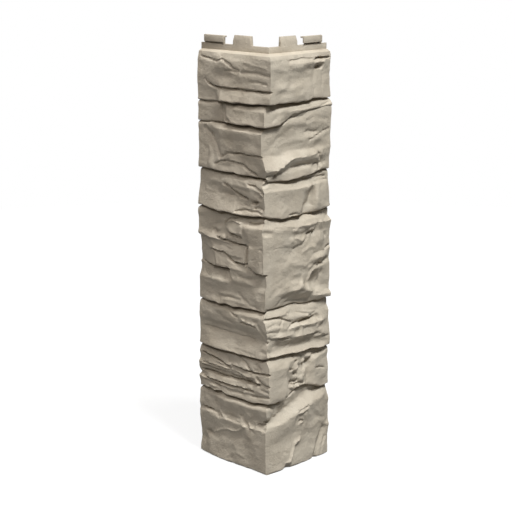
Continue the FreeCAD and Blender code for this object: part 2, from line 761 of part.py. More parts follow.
courses_formula = " + ".join("Sizes." + alias for alias in course_aliases)
stone_top_formula = courses_formula + " + Sizes.ledge_height"
flange_top_formula = stone_top_formula + " + Sizes.flange_rise"
flange_middle_formula = stone_top_formula + " + Sizes.flange_rise / 2"

# The left leg runs along Y and the right leg along X, both with the stone on the minus side.
# For each: the plane of its front view and of its cross-section, and the sign along the leg.
views = {"left": ("YZ_Plane", "XZ_Plane", -1), "right": ("XZ_Plane", "YZ_Plane", 1)}


def flange_strip(body):
    """The L of the nailing flange, bevelled at its two ends."""
    front = "-Sizes.flange_thickness"
    bevel = "Sizes.end_bevel_depth - Sizes.flange_thickness"
    corners = [
        ("0", "0"),
        ("0", "Sizes.flange_left"),
        (bevel, "Sizes.flange_left"),
        (front, "Sizes.flange_left - Sizes.end_bevel"),
        (front, front),
        ("Sizes.flange_right - Sizes.end_bevel", front),
        ("Sizes.flange_right", bevel),
        ("Sizes.flange_right", "0"),
    ]
    start = stone_top_formula + " - Sizes.flange_lap"
    pad(body, "Flange", "XY_Plane", corners, start, "Sizes.flange_lap + Sizes.flange_rise")


def tongue(body, side):
    """An inner tab with slanted sides, in the plane of the flange."""
    start = "Sizes.%s_tongue_start" % side
    end = start + " + Sizes.%s_tongue_width" % side
    top = flange_top_formula + " + Sizes.tongue_height"
    corners = [
        (start, flange_middle_formula),
        (end, flange_middle_formula),
        (end, flange_top_formula),
        (end + " - Sizes.tongue_slant", top),
        (start + " + Sizes.tongue_slant", top),
        (start, flange_top_formula),
    ]
    front_view = views[side][0]
    made = pad(body, side.capitalize() + "Tongue", front_view, corners, "0", "Sizes.flange_thickness")
    made.Reversed = side == "left"


def tongue_taper(body, side):
    """The upper part of an inner tab gets thinner from the front."""
    straight = flange_top_formula + " + Sizes.tongue_straight"
    top = flange_top_formula + " + Sizes.tongue_height"
    corners = [
        ("-Sizes.flange_thickness", straight),
        ("-Sizes.flange_thickness", top),
        ("-Sizes.tongue_tip", top),
    ]
    section = views[side][1]
    sketch = outline_sketch(body, side.capitalize() + "TaperOutline", section, corners, "0")
    pocket = body.newObject("PartDesign::Pocket", side.capitalize() + "Taper")
    pocket.Profile = sketch
    pocket.Type = 1
    pocket.Midplane = True


def hook(body, side):
    """An outer tab: a web, and a roof and lip that stand out in front of it."""
    name = side.capitalize()
    start = "Sizes.%s_hook_start" % side
    width = "Sizes.%s_hook_width" % side
    notch = "Sizes.%s_notch" % side
    top = flange_top_formula + " + Sizes.hook_height"
    slot_top = flange_top_formula + " + Sizes.hook_slot"
    roof = top + " - Sizes.hook_wall"
    lip_corners = [
        ("0", roof),
        ("0", top),
        ("-Sizes.hook_reach", top),
        ("-Sizes.hook_reach", slot_top),
        ("Sizes.hook_wall - Sizes.hook_reach", slot_top),
        ("Sizes.hook_wall - Sizes.hook_reach", roof),
    ]
    web_corners = [
        ("0", flange_middle_formula),
        ("0", top),
        ("-Sizes.hook_wall", top),
        ("-Sizes.hook_wall", flange_middle_formula),
    ]
    section, sign = views[side][1:]
    web_start = start + " + " + notch
    offset = "%s(%s)" % ("-" if sign < 0 else "", start)
    web_offset = "%s(%s)" % ("-" if sign < 0 else "", web_start)
    web_width = width + " - " + notch + " + Sizes.web_foot"
    lip = pad(body, name + "HookLip", section, lip_corners, offset, width)
    lip.Reversed = sign < 0
    web = pad(body, name + "HookWeb", section, web_corners, web_offset, web_width)
    web.Reversed = sign < 0


def make_flange():
    body = doc.addObject("PartDesign::Body", "NailingFlange")
    body.Label = "nailing_flange"
    flange_strip(body)
    for side in ("left", "right"):
        tongue(body, side)
    for side in ("left", "right"):
        tongue_taper(body, side)
    for side in ("left", "right"):
        hook(body, side)
    return body


skin = make_skin()
flange = make_flange()
doc.recompute()

moulding = doc.addObject("Part::Fuse", "CornerMoulding")
moulding.Label = "corner_moulding"
moulding.Base = skin
moulding.Tool = flange
moulding.Refine = False
doc.recompute()

for item in doc.Objects:
    if "Invalid" in item.State or "Error" in item.State:
        raise RuntimeError("failed object: " + item.Name)
for item in (skin, flange, moulding):
    shape = item.Shape
    if shape.isNull() or not shape.isValid():
        raise RuntimeError("bad shape: " + item.Label)
    box = shape.BoundBox
    print(item.Label, len(shape.Solids), "solids", len(shape.Faces), "faces", round(shape.Volume))
    print("  from", round(box.XMin, 2), round(box.YMin, 2), round(box.ZMin, 2))
    print("  to", round(box.XMax, 2), round(box.YMax, 2), round(box.ZMax, 2))
if len(moulding.Shape.Solids) != 1:
    raise RuntimeError("the moulding is not one solid")

moulding.Shape.exportStep("parts/" + moulding.Label + ".step")
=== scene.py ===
import math
import bmesh
import bpy
import numpy as np
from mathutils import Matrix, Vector


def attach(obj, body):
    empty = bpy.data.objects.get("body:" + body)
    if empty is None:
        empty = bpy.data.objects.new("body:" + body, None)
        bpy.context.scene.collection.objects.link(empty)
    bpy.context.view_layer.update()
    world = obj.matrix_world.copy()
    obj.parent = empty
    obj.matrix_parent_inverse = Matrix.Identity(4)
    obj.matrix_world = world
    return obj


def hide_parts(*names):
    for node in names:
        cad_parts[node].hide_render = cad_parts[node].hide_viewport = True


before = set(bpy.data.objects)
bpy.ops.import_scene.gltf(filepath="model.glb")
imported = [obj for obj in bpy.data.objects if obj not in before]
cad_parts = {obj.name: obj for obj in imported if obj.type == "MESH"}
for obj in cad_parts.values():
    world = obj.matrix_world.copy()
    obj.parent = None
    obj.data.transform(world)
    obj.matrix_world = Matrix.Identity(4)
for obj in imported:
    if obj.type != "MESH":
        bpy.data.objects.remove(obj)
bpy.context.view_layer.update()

print("frame loaded")

# The stone skin as it stands on its base. Lengths are in millimetres, and meshes turn them to metres.
stone = {
    "leftLeg": 90.0,
    "rightLeg": 78.5,
    "wall": 3.0,
    "jointFloor": 4.0,
    "leastHeight": 0.3,
    "depth": 13.0,
    "backLeast": 0.4,
    "faceTop": 417.4,
    "top": 420.0,
    "ledgeFront": 3.4,
    "ledgeCurve": 1.15,
    "rowSpacing": 1.12,
    "columnSpacing": 1.0,
    "backSpacing": 3.8,
    "rowsByJoint": [0.45, 0.95, 1.55, 2.25, 3.1],
    "backRowsByJoint": [2.6],
    "ledgeRows": [0.2, 0.4, 0.6, 0.8, 1.0],
    "backLedgeRows": [0.5, 1.0],
    "creaseAngle": 40.0,
    "jointWave": 0.6,
    "jointWidth": 2.1,
    "jointDrop": 0.8,
    "fadingJoints": {
        ("left", 1): [(66, 1.0), (76, 0.55), (103, 0.55)],
        ("left", 2): [(70, 1.0), (84, 0.6), (103, 0.6)],
        ("right", 2): [(20, 1.0), (26, 0.4), (32, 0.08), (91, 0.05)],
    },
    "markDepth": {"left": 1.15, "right": 1.25},
    "highest": {"left": 16.3, "right": 15.7},
}
legLength = {"left": stone["leftLeg"], "right": stone["rightLeg"]}
millimetre = 0.001
farAway = 1e9


def ease(value):
    value = np.clip(value, 0.0, 1.0)
    return value * value * (3.0 - 2.0 * value)


def lineHeight(line, along):
    return np.interp(along, [point[0] for point in line], [point[1] for point in line])


def lineDistance(along, up, line):
    nearest = np.full(np.shape(along), farAway)
    for (start, low), (end, high) in zip(line, line[1:]):
        run, climb = end - start, high - low
        share = ((along - start) * run + (up - low) * climb) / (run * run + climb * climb)
        share = np.clip(share, 0.0, 1.0)
        gap = np.hypot(along - start - share * run, up - low - share * climb)
        nearest = np.minimum(nearest, gap)
    return nearest


def insideOf(along, up, outline):
    inside = np.zeros(np.shape(along), bool)
    for (start, low), (end, high) in zip(outline, outline[1:]):
        if low != high:
            side = (end - start) * (up - low) / (high - low) + start
            inside ^= ((low > up) != (high > up)) & (along < side)
    return inside


def roughness(seed, size=128):
    # A smooth random surface from -1 to 1, with a knot at each whole number
    knots = np.random.default_rng(seed).uniform(-1.0, 1.0, (size, size))

    def height(across, up):
        column, row = np.floor(across).astype(int), np.floor(up).astype(int)
        right, above = ease(across - column), ease(up - row)

        def knot(i, j):
            return knots[i % size, j % size]

        low = knot(column, row) * (1.0 - right) + knot(column + 1, row) * right
        high = knot(column, row + 1) * (1.0 - right) + knot(column + 1, row + 1) * right
        return low * (1.0 - above) + high * above

    return height


# What breaks up a stone's face. Each one is a height to add at places along and up a leg.
def flake(outline, rise, soft=3.0, leanUp=0.0, leanAlong=0.0):
    # An area that stands out or lies back, and may lean
    closed = outline + outline[:1]
    middleAlong = sum(point[0] for point in outline) / len(outline)
    middleUp = sum(point[1] for point in outline) / len(outline)

    def height(along, up):
        gap = lineDistance(along, up, closed)
        gap = np.where(insideOf(along, up, closed), gap, -gap)
        lean = leanUp * (up - middleUp) + leanAlong * (along - middleAlong)
        return ease(0.5 + 0.5 * gap / soft) * (rise + lean)

    return height


def ledge(line, rise, width=3.0, reach=5.0, fade=6.0, curve=1.2):
    # A rise below a line that dies away over the reach
    first, last = line[0][0], line[-1][0]

    def height(along, up):
        ends = ease((along - first) / fade) * ease((last - along) / fade)
        drop = lineHeight(line, along) - up
        share = np.clip(1.0 - np.maximum(drop, 0.0) / reach, 0.0, 1.0) ** curve
        return ends * (rise * (ease(0.5 + drop / width) * share))

    return height


def split(line, depth, above=1.0, below=3.0, fade=3.0, bluntness=0.3, curve=0.9):
    # A stone edge that overhangs what is below it, like a shallow joint
    first, last = line[0][0], line[-1][0]

    def height(along, up):
        ends = ease((along - first) / fade + bluntness) * ease((last - along) / fade + bluntness)
        rise = up - lineHeight(line, along)
        gap = np.where(rise > 0.0, rise / above, -rise / below)
        return -depth * ends * np.clip(1.0 - gap, 0.0, 1.0) ** curve

    return height


def crack(line, depth, width=2.4, curve=1.05):
    # A groove along a line, or a ridge where the depth is negative
    def height(along, up):
        return -depth * np.clip(1.0 - lineDistance(along, up, line) / width, 0.0, 1.0) ** curve

    return height


def hollow(alongMiddle, upMiddle, alongSize, upSize, depth, turn=0.0, curve=1.5):
    # A round hollow, or a bump where the depth is negative
    cosine, sine = math.cos(math.radians(turn)), math.sin(math.radians(turn))

    def height(along, up):
        across = ((along - alongMiddle) * cosine + (up - upMiddle) * sine) / alongSize
        rise = ((up - upMiddle) * cosine - (along - alongMiddle) * sine) / upSize
        return -depth * np.clip(1.0 - across ** 2 - rise ** 2, 0.0, 1.0) ** curve

    return height


# Joint lines from the top one down, as (along, up) points. Along is 0 where the legs meet.
joints = {
    "left": [
        [(0, 372.5), (30, 371), (70, 370.5), (95, 370)],
        [(0, 350), (30, 350.5), (60, 350), (95, 349.5)],
        [(0, 301), (15, 301), (50, 301.5), (95, 301.5)],
        [(0, 263.5), (5, 263.5), (20, 262), (40, 261), (70, 261), (95, 263)],
        [(0, 168.5), (5, 167.5), (40, 167), (50, 166), (60, 167.5), (70, 166)],
        [(0, 121.5), (10, 118.5), (50, 118), (95, 118)],
        [(0, 74.5), (20, 72), (60, 72), (68, 74), (78, 72), (85, 74), (93, 72.5)],
    ],
    "right": [
        [(0, 372.5), (46, 372), (58, 372.8), (66, 374), (74, 373.8), (82, 372.8), (90, 372.5)],
        [(0, 350), (22, 352.5), (28, 356), (33, 361), (45, 362), (60, 364), (76, 366)],
        [(0, 300), (5, 297.5), (30, 296), (55, 298), (65, 299.5), (85, 301.5)],
        [(0, 263.5), (8, 261), (20, 259.5), (50, 259.5), (70, 260.5), (85, 262.5)],
        [(0, 169.5), (10, 170.5), (45, 170.5), (50, 168.5), (60, 167.5), (90, 170)],
        [(0, 121.5), (20, 121), (40, 120), (60, 120), (75, 118), (90, 118)],
        [(0, 74.5), (20, 73), (30, 76), (40, 80), (50, 84), (60, 82), (80, 76.5)],
    ],
}
courses = {"left": [], "right": []}


def addCourse(leg, rounding, sections, marks):
    # The next course down: how far its upper and lower edges are rounded, its vertical sections
    # as (up, height) points at places along the leg, and its marks
    courses[leg].append({"rounding": rounding, "sections": sections, "marks": marks})


addCourse("left", (4, 2.5), {
    4: [(372, 13.8), (379, 13.2), (383.4, 11.8), (384, 12.4), (390, 12.2), (415, 12.4)],
    45: [(372, 15.2), (383.2, 11.4), (384, 12.8), (390, 12.2), (400, 12.8), (411, 12.4), (415, 10.6)],
    68: [(372, 14.6), (383.2, 10.8), (384.2, 12), (392, 11.4), (405, 11.8), (411, 12), (415, 9.6)],
    76: [(372, 9.6), (384, 10.4), (405, 11.2), (415, 9.6)],
    103: [(372, 9.8), (409, 9.6), (415, 8)],
}, [
    split([(-12, 384.6), (20, 384.2), (40, 384.6), (70, 384), (80, 385), (86, 387.4), (92, 391.5)],
        3.8, 1, 1.6, 5),
    split([(66, 412.4), (74, 409.8), (80, 411), (90, 412.8), (99, 413.8)], 1.7, 0.9, 2),
    crack([(66, 412), (57, 409), (51, 404.6), (42, 402)], 1.5, 1.7),
    crack([(4, 406.6), (20, 408), (34, 411)], -0.5, 1.6),
    crack([(62, 400.6), (52, 401.8), (45, 400.6)], 1.1, 1.6),
    crack([(0, 399.6), (20, 401.4), (38, 400.6)], 1.1),
    crack([(4, 391.6), (14, 392.6), (26, 393)], 0.9, 1.6), hollow(66, 397, 20, 7, 1),
    flake([(104, 372), (104, 385), (88, 384), (76, 380), (76, 372)], -0.7, 2.5),
])
addCourse("left", (5, 2.5), {
    4: [(350, 15.8), (364, 15), (371, 12.6)],
    12: [(350, 15.8), (366, 13), (371, 12.2)],
    58: [(350, 15.6), (366, 12.6), (371, 11.8)],
    67: [(350, 9), (362, 9.4), (371, 10.4)],
    80: [(350, 8.8), (369, 9.3)],
}, [
    flake([(64, 371), (74, 371), (70, 360), (62, 350), (56, 350), (60, 360)], -0.9),
    crack([(72, 371), (69, 364), (62, 355.6), (54, 352)], 2, 2.6), hollow(85, 360, 10, 6, 0.6),
    ledge([(0, 366), (62, 366)], 0.8, 3, 10),
])
addCourse("left", (6, 2.5), {
    6: [(301, 10.8), (310, 14.2), (319, 14.6), (322, 15.4), (344, 16), (349, 12)],
    45: [(301, 14), (310, 12.2), (313, 12.8), (320, 12.8), (321.8, 12.4), (323, 13.6), (344, 15.2),
        (349, 10.6)],
    68: [(301, 13), (308, 11.4), (311, 12.4), (322, 12.6), (344, 14), (349, 10)],
    82: [(301, 10.6), (312, 10.8), (322, 8.6), (338, 8.2), (346, 10.4)],
    103: [(304, 9.4), (312, 8.5), (338, 8.7), (345, 9.3)],
}, [
    split([(4, 321.6), (30, 322.4), (50, 322)], 2, 0.8, 2, 4),
    crack([(65, 316.6), (58, 320.6), (50, 322)], 1.7, 1.6),
    split([(14, 301), (20, 304.5), (30, 308.5), (36, 312), (48, 312.5), (60, 313), (70, 311.5), (78, 308)],
        1.9, 0.9, 2.4, 5), crack([(92, 342), (84, 336), (76, 327), (69, 317)], 2.2, 4),
    flake([(87, 324), (81, 322), (79, 302), (87, 302)], 1.1, 2.6), hollow(40, 334, 26, 9, 0.4),
    hollow(14, 311, 9, 5, 0.5),
])
addCourse("left", (4, 2.5), {
    7: [(262, 14), (272, 12.4), (284, 13.6), (291, 14), (300, 10.8)],
    30: [(262, 15), (274, 11), (279, 12.2), (289, 13.6), (300, 10.4)],
    52: [(262, 15.2), (279, 9.6), (283, 11.4), (290, 13.2), (300, 10.4)],
    80: [(262, 14.4), (278, 9.2), (285, 9.6), (291, 10.6), (300, 8.8)],
    103: [(264, 10.4), (270, 9.9), (276, 8.9), (282, 7.4), (288, 6.5)],
}, [
    crack([(28, 286), (38, 286.4), (48, 288)], 0.8),
    split([(28, 278.4), (38, 279.8), (48, 284), (56, 288), (64, 291)], 3, 0.9, 2.6),
    hollow(76, 287, 12, 4, 0.6, -4), split([(6, 284), (11, 289), (20, 292), (30, 293)], 2.2, 0.9, 2.2, 2),
    ledge([(8, 288), (16, 291), (40, 296), (70, 295)], 0.8, 2.5, 5, 4),
    hollow(20, 275.4, 6.5, 2.6, 4.2, -6), hollow(11, 281, 4, 3, 1.6), hollow(16, 284, 5, 3, 1),
    crack([(8, 270), (14, 271.6), (20, 269.6)], 1.3, 1.5),
    crack([(10, 265.6), (16, 267), (24, 266), (34, 267.4), (46, 264)], 1.5, 1.6),
    crack([(26, 270.6), (34, 271.6)], 0.8, 1.6), hollow(36, 265, 8, 3, 1), hollow(60, 270, 14, 6, 0.6),
    ledge([(44, 277), (74, 280), (96, 284)], 0.8, 4, 18),
])
addCourse("left", (4, 2.2), {
    7: [(187, 13.2), (192, 11.2), (204.5, 11.6), (206, 15.6), (249, 16.2), (255, 12.4), (260, 11.4)],
    25: [(189, 13.2), (204, 12.6), (213, 15.2), (249, 15.6), (255, 12.2), (260, 11.2)],
    30.6: [(189, 13.2), (204, 12.6), (212, 10.9), (230, 10.6), (231.6, 13.9), (249, 14.9), (255, 12),
        (260, 11)],
    32: [(189, 13.2), (204, 12.6), (211, 13), (212.4, 14.6), (230, 12.4), (231.6, 13.8), (249, 14.8),
        (255, 12), (260, 11)],
    54: [(168, 14), (174, 12.4), (190, 13.6), (203, 12.4), (205, 14.4), (217, 12), (218, 14), (230, 12.2),
        (231.8, 13.6), (236, 13.2), (241, 11.6), (242.4, 13.4), (255, 10.4), (260, 9.8)],
    60: [(168, 14), (174, 12.4), (190, 13.6), (203.4, 8.8), (204.6, 13.4), (218, 11.6), (219.4, 13.6),
        (230, 11.8), (232, 13.6), (238, 12.2), (242, 11.6), (255, 10.4), (260, 9.8)],
    80: [(168, 13.4), (174, 11.6), (190.4, 13.2), (203.4, 8.4), (204.4, 12.6), (219.6, 10.8), (220.8, 12.6),
        (231, 11.2), (233, 13.6), (240, 8.8), (260, 9.4)],
    103: [(189, 8.6), (192, 7.4), (197, 5.4), (202, 5.2), (205, 7.4), (216, 7.8), (231, 9), (235, 10.4),
        (241, 8.8), (250, 9), (256, 10)],
}, [
    split([(-12, 205.2), (2, 205), (18, 205.4), (21, 207.8), (26, 212.6), (30, 213), (34, 211.8),
        (48, 211.8), (52, 213.4), (60, 218.8), (66, 220), (84, 220.6)], 3.4, 0.9, 1.5),
    split([(28, 230.4), (38, 232), (48, 231.6), (62, 233), (74, 234)], 3.8, 0.9, 1.6),
    flake([(25, 231), (10, 232), (7, 206), (20, 206), (25, 212)], 1, 1.6),
    split([(54, 203.6), (62, 203.8), (80, 203.8), (98, 205)], 3.8, 1, 1.6, 2),
    crack([(58, 203.4), (55, 199.5), (52, 194)], 3, 2.2),
    flake([(56, 203), (51, 192), (20, 192), (20, 205), (44, 207)], 1.6),
    split([(36, 238.6), (42, 239.4), (50, 240.6), (56, 241)], 2, 1.4, 2.4),
    flake([(62, 245), (60, 251), (54, 254.6), (34, 255.6), (36, 240), (50, 241)], 1.3, 2.6, -0.1),
    crack([(64, 246), (62, 251), (56, 255.6), (46, 257)], 1.6, 1.8),
    crack([(38, 253), (50, 254.2), (58, 252.4), (64, 246)], -1.8, 1.5),
    ledge([(-12, 252), (36, 252.5)], 1.4, 3, 18, 5),
    crack([(27, 254.4), (22, 253.6), (17, 254.6), (8, 257)], 1.8, 1.8), hollow(77, 239, 5, 4, 1.5),
    hollow(72, 243, 5, 3.5, -1.2), hollow(64, 236, 4, 3, -0.9), hollow(54, 236.5, 6, 3, -0.8),
    crack([(78, 246), (70, 249), (64, 248)], 0.8, 2.5),
    flake([(104, 232), (86, 232), (80, 218), (73, 205), (104, 205)], -1.3, 1.6, 0, -0.09),
    crack([(98, 222), (88, 221)], 0.8, 1.8), crack([(22, 231.3), (8, 230.6)], 0.6, 1.2),
    crack([(21, 218.6), (9, 219.6)], 0.8, 1.1), crack([(78, 228), (60, 226), (52, 224)], 0.5, 2),
    flake([(66, 220), (56, 215), (46, 210), (46, 205), (74, 205), (80, 220)], 0.8, 2.5),
    hollow(3, 190, 4, 3, -1.4), crack([(98, 190.5), (58, 190.5)], -0.5, 3),
    crack([(42, 181), (34, 176), (26, 172), (14, 169.5)], 0.6),
    crack([(70, 177), (60, 177.5), (50, 178.5), (40, 177)], -0.5),
    crack([(66, 171.5), (50, 172.5), (36, 171.5)], -0.7), hollow(54, 175.2, 10, 1.6, 0.5),
    hollow(80, 180, 12, 5, 0.6), hollow(24, 197, 8, 5, 0.9),
    crack([(14, 203), (24, 198), (40, 199)], 0.8, 2.6), hollow(12, 183, 8, 6, 0.5),
])
addCourse("left", (7, 2.5), {
    5: [(119, 13.4), (131, 12), (137, 10.6), (147, 13.6), (161, 14.2), (167, 11.8)],
    30: [(119, 14.6), (137, 9), (142, 9.4), (151, 13.4), (160.6, 14), (167, 11.2)],
    60: [(119, 14.4), (137, 9), (142, 9.2), (148, 12.2), (160.6, 13.2), (167, 10.6)],
    85: [(119, 13.6), (137, 8.4), (142, 8.6), (145, 10.8), (160.6, 11.8), (167, 9.6)],
    103: [(119, 9.4), (136, 8.4), (142, 8.2), (147, 9), (158, 9.2)],
}, [
    split([(18, 150), (24, 151.2), (30, 151.6), (40, 152)], 2, 0.8, 1.8, 2),
    crack([(37, 155), (30, 153.8), (20, 152.2)], -1, 1.4), crack([(17, 151), (13, 146), (8, 141)], -0.4, 2),
    crack([(13, 152), (9, 146), (4, 141)], 0.8, 3), hollow(18, 156, 5, 2.5, 0.8),
    split([(42, 157), (50, 158.5), (54, 160)], 1.2, 0.8, 1.6, 2),
    split([(50, 149), (58, 151.6), (66, 151)], 0.7, 1, 2.6, 4),
    split([(60, 143), (72, 145), (98, 144.4)], 0.9, 1.2, 3, 6),
    split([(20, 137.6), (60, 138), (98, 137.6)], 0.8, 1, 3, 6),
    crack([(50, 143), (36, 141), (24, 141.5)], 0.5, 3), split([(-14, 135.6), (0, 136), (5, 137)], 1.8),
    hollow(60, 127, 30, 7, 0.5), crack([(20, 121), (40, 122.5), (56, 121)], 0.5, 2.5),
    hollow(8, 126, 6, 3, 0.8),
])
addCourse("left", (3, 2), {
    2: [(74, 13.6), (90, 12.6), (93, 13.4), (104, 12.4), (118, 11.8)],
    30: [(74, 13.8), (79.4, 12.6), (80, 13.6), (83.4, 12.6), (84.2, 13.8), (90.4, 11.8), (92, 9.9),
        (98, 13.7), (103, 12), (104.2, 13.8), (118, 11)],
    60: [(74, 13.6), (79.4, 12.2), (80, 13.2), (83.4, 12.2), (84.2, 13.6), (90.4, 11.2), (92, 9.3),
        (99, 13.7), (102.8, 11.8), (103.8, 13.6), (118, 10.6)],
    85: [(74, 12.6), (79.4, 11.4), (80.4, 12.2), (83.4, 11.4), (84.2, 13), (90.4, 10.6), (92, 8.9),
        (99.4, 13.1), (107, 10.6), (108.2, 12.4), (118, 9.8)],
    103: [(78, 8.8), (83.5, 11.1), (86, 6.4), (89, 8.6), (93, 10.2), (99, 10.4), (102, 8), (106, 8.2),
        (110, 9.8), (115, 7.4)],
}, [
    split([(54, 100), (60, 103), (64, 104.6), (72, 106.6), (84, 108.4), (99, 109.6)], 3.6, 1, 1.4, 2),
    crack([(40, 113.5), (33, 111), (28, 107), (23, 103)], 1.8, 2),
    flake([(60, 115), (38, 115), (44, 108), (58, 106)], -1, 2, 0.08),
    split([(-10, 104.6), (0, 104.4), (15, 103.4), (36, 103.4), (54, 104.8)], 3.2, 1, 1.3, 2),
    split([(24, 95), (46, 98.5), (70, 99.2), (99, 99.4)], 1.8, 0.8, 1.4),
    crack([(98, 95.6), (70, 95.8), (40, 94), (24, 93.4)], 1.8, 1.4),
    crack([(70, 97.6), (58, 96.6), (48, 97)], 0.8, 1.2),
    split([(12, 92), (24, 91.4), (40, 91.4), (60, 90.2), (99, 91)], 3.6, 1.6, 1.2, 2),
    crack([(23, 96.4), (20, 93.4), (22, 91)], 1.6, 1.8), hollow(15, 94.6, 6, 3, -0.9),
    crack([(16, 98), (10, 93.6), (2, 92), (-8, 93)], 2, 2), hollow(27, 87.6, 4, 2.4, -0.9),
    split([(20, 84), (40, 83.4), (56, 82.8), (99, 84.2)], 3, 0.9, 1.2, 2),
    crack([(98, 80.4), (84, 80.6), (70, 79)], 1.6, 1.8), crack([(24, 79), (10, 80), (-4, 81.4)], 1.6, 1.7),
    crack([(62, 79), (50, 77), (36, 79)], 0.8, 1.8), hollow(79, 77, 7, 2.2, -0.9),
    crack([(10, 87), (0, 86)], 0.9, 1.6), crack([(12, 108), (18, 112), (14, 116)], 0.9, 2),
    hollow(16, 106, 6, 2.5, 0.9), crack([(90, 76.6), (86, 75), (76, 74.6)], 0.6, 1.6),
    crack([(90, 113), (70, 111.6)], 0.5, 2), crack([(50, 100.6), (24, 100)], 0.5, 1.6),
])
addCourse("left", (4, 4), {
    5: [(0, 12.8), (1.8, 15.2), (45, 15.2), (46.6, 13.4), (54, 12.2), (60, 14.2), (67, 15), (72, 12.6)],
    30: [(0, 11.6), (1.8, 14), (30, 13.8), (45, 14.6), (46.4, 12.8), (53, 12.4), (66, 14.4), (71, 12)],
    60: [(0, 11.6), (1.8, 14), (20, 13.4), (33, 12), (40, 12.8), (45, 14), (46.4, 11.9), (56, 11.5),
        (66, 13.8), (71, 11.4)],
    86: [(0, 9.6), (1.8, 12), (14, 11.2), (26, 10), (40, 11.8), (47.4, 12.6), (49.4, 10), (52, 10.6),
        (60, 10.8), (67, 11), (71, 8)],
    103: [(0, 6.9), (1.8, 9.3), (9, 8.5), (17, 6.5), (24, 7.3), (30, 8.7), (40, 10), (46, 10), (49, 8.8),
        (54, 10), (65, 8.8)],
}, [
    split([(81, 51.4), (88, 50.8), (99, 51.8)], 2.8, 0.8, 1.6, 2), crack([(76, 50), (71, 44.6)], 1.1, 1.6),
    crack([(70, 51), (66, 47.4), (62, 46)], -1, 1.8), crack([(73, 51), (69, 46.6)], 0.9, 1.5),
    crack([(82, 26), (76, 29), (68, 32.6), (60, 35.4), (46, 36.2), (40, 38.6), (33, 44)], -0.9, 1.5),
    flake([(84, 24), (70, 31), (60, 34), (44, 34.6), (34, 40), (28, 30), (60, 22)], -0.6, 4),
    crack([(33, 44), (38, 47), (44, 47.6)], -0.9), crack([(30, 46), (25, 43.4), (20, 42)], 0.7, 2),
    crack([(27, 48), (22, 45), (18, 46.6), (8, 46)], -0.8, 2), crack([(18, 47), (21, 43)], 0.6, 1.6),
    hollow(89, 25, 7, 3.4, 2.4, -10), hollow(96, 17, 6, 7, 1.2), hollow(90, 61, 8, 5, -0.9),
    hollow(77, 61, 4, 7, 1), hollow(63, 59, 7, 8, -0.7), hollow(38, 58, 5, 8, 0.9),
    hollow(28, 56, 8, 6, -0.9), hollow(15, 59, 6, 7, 0.8), hollow(54, 50, 16, 3, 0.8),
    crack([(40, 54), (34, 50), (30, 47)], 1),
    split([(-12, 57), (-2, 55), (4, 53), (10, 51.6), (16, 50.4)], 2.6, 1.4, 3.4),
    hollow(60, 16, 16, 9, 0.6), hollow(26, 20, 12, 14, 0.6), crack([(50, 8), (58, 3), (52, 0)], 0.6, 3),
    crack([(34, 12), (44, 14), (52, 12)], -0.4, 3),
])
addCourse("right", (4, 2.5), {
    0: [(372, 15.6), (400, 15), (415, 14.6)],
    45: [(372, 13), (380, 13.6), (395, 11.6), (409, 13.2), (415, 10.4)],
    70: [(372, 12), (385, 10.8), (402, 8.6), (409, 12), (415, 8.6)],
    91: [(372, 9.5), (385, 7.5), (397, 7.3), (403, 7.8), (413, 8.7)],
}, [
    split([(68, 413), (76, 413.6), (90, 412.8)], 4.2, 0.9, 2.2),
    split([(26, 412.6), (48, 413.6), (66, 412)], 0.9, 1, 3, 8), hollow(75, 405, 8, 4, 3.6, 8),
    crack([(66, 410), (72, 411.6), (80, 411)], 1.6), hollow(75, 404, 6, 3.4, 1.8, -8),
    crack([(68, 400), (64, 390), (66, 380)], 0.5, 5), hollow(40, 394, 22, 9, 0.8),
    crack([(4, 407), (24, 404), (50, 407)], -0.5, 4), crack([(10, 388), (30, 384), (44, 388)], -0.5, 5),
    crack([(80, 398), (79, 386)], 0.5, 3), hollow(24, 382, 16, 5, 0.6),
    crack([(28, 404), (44, 400), (60, 402)], 0.5, 4), hollow(12, 399, 8, 8, 0.4),
])
addCourse("right", (5, 2.5), {
    -3: [(350, 9.4), (362, 9), (371, 7.6)],
    16: [(350, 13.4), (364, 12.4), (371, 8.4)],
    26: [(352, 10), (364, 12.6), (371, 8.6)],
    45: [(357, 10.4), (364, 13), (371, 8.4)],
    91: [(362, 10.6), (366, 11.2), (371, 8.6)],
}, [
    hollow(12, 369, 9, 3, 1), crack([(20, 366), (30, 367.6), (60, 368.6)], -0.8, 2.6),
    crack([(8, 357), (14, 361), (22, 362)], 0.5, 3), crack([(76, 366), (88, 368)], 0.8, 1.6),
])
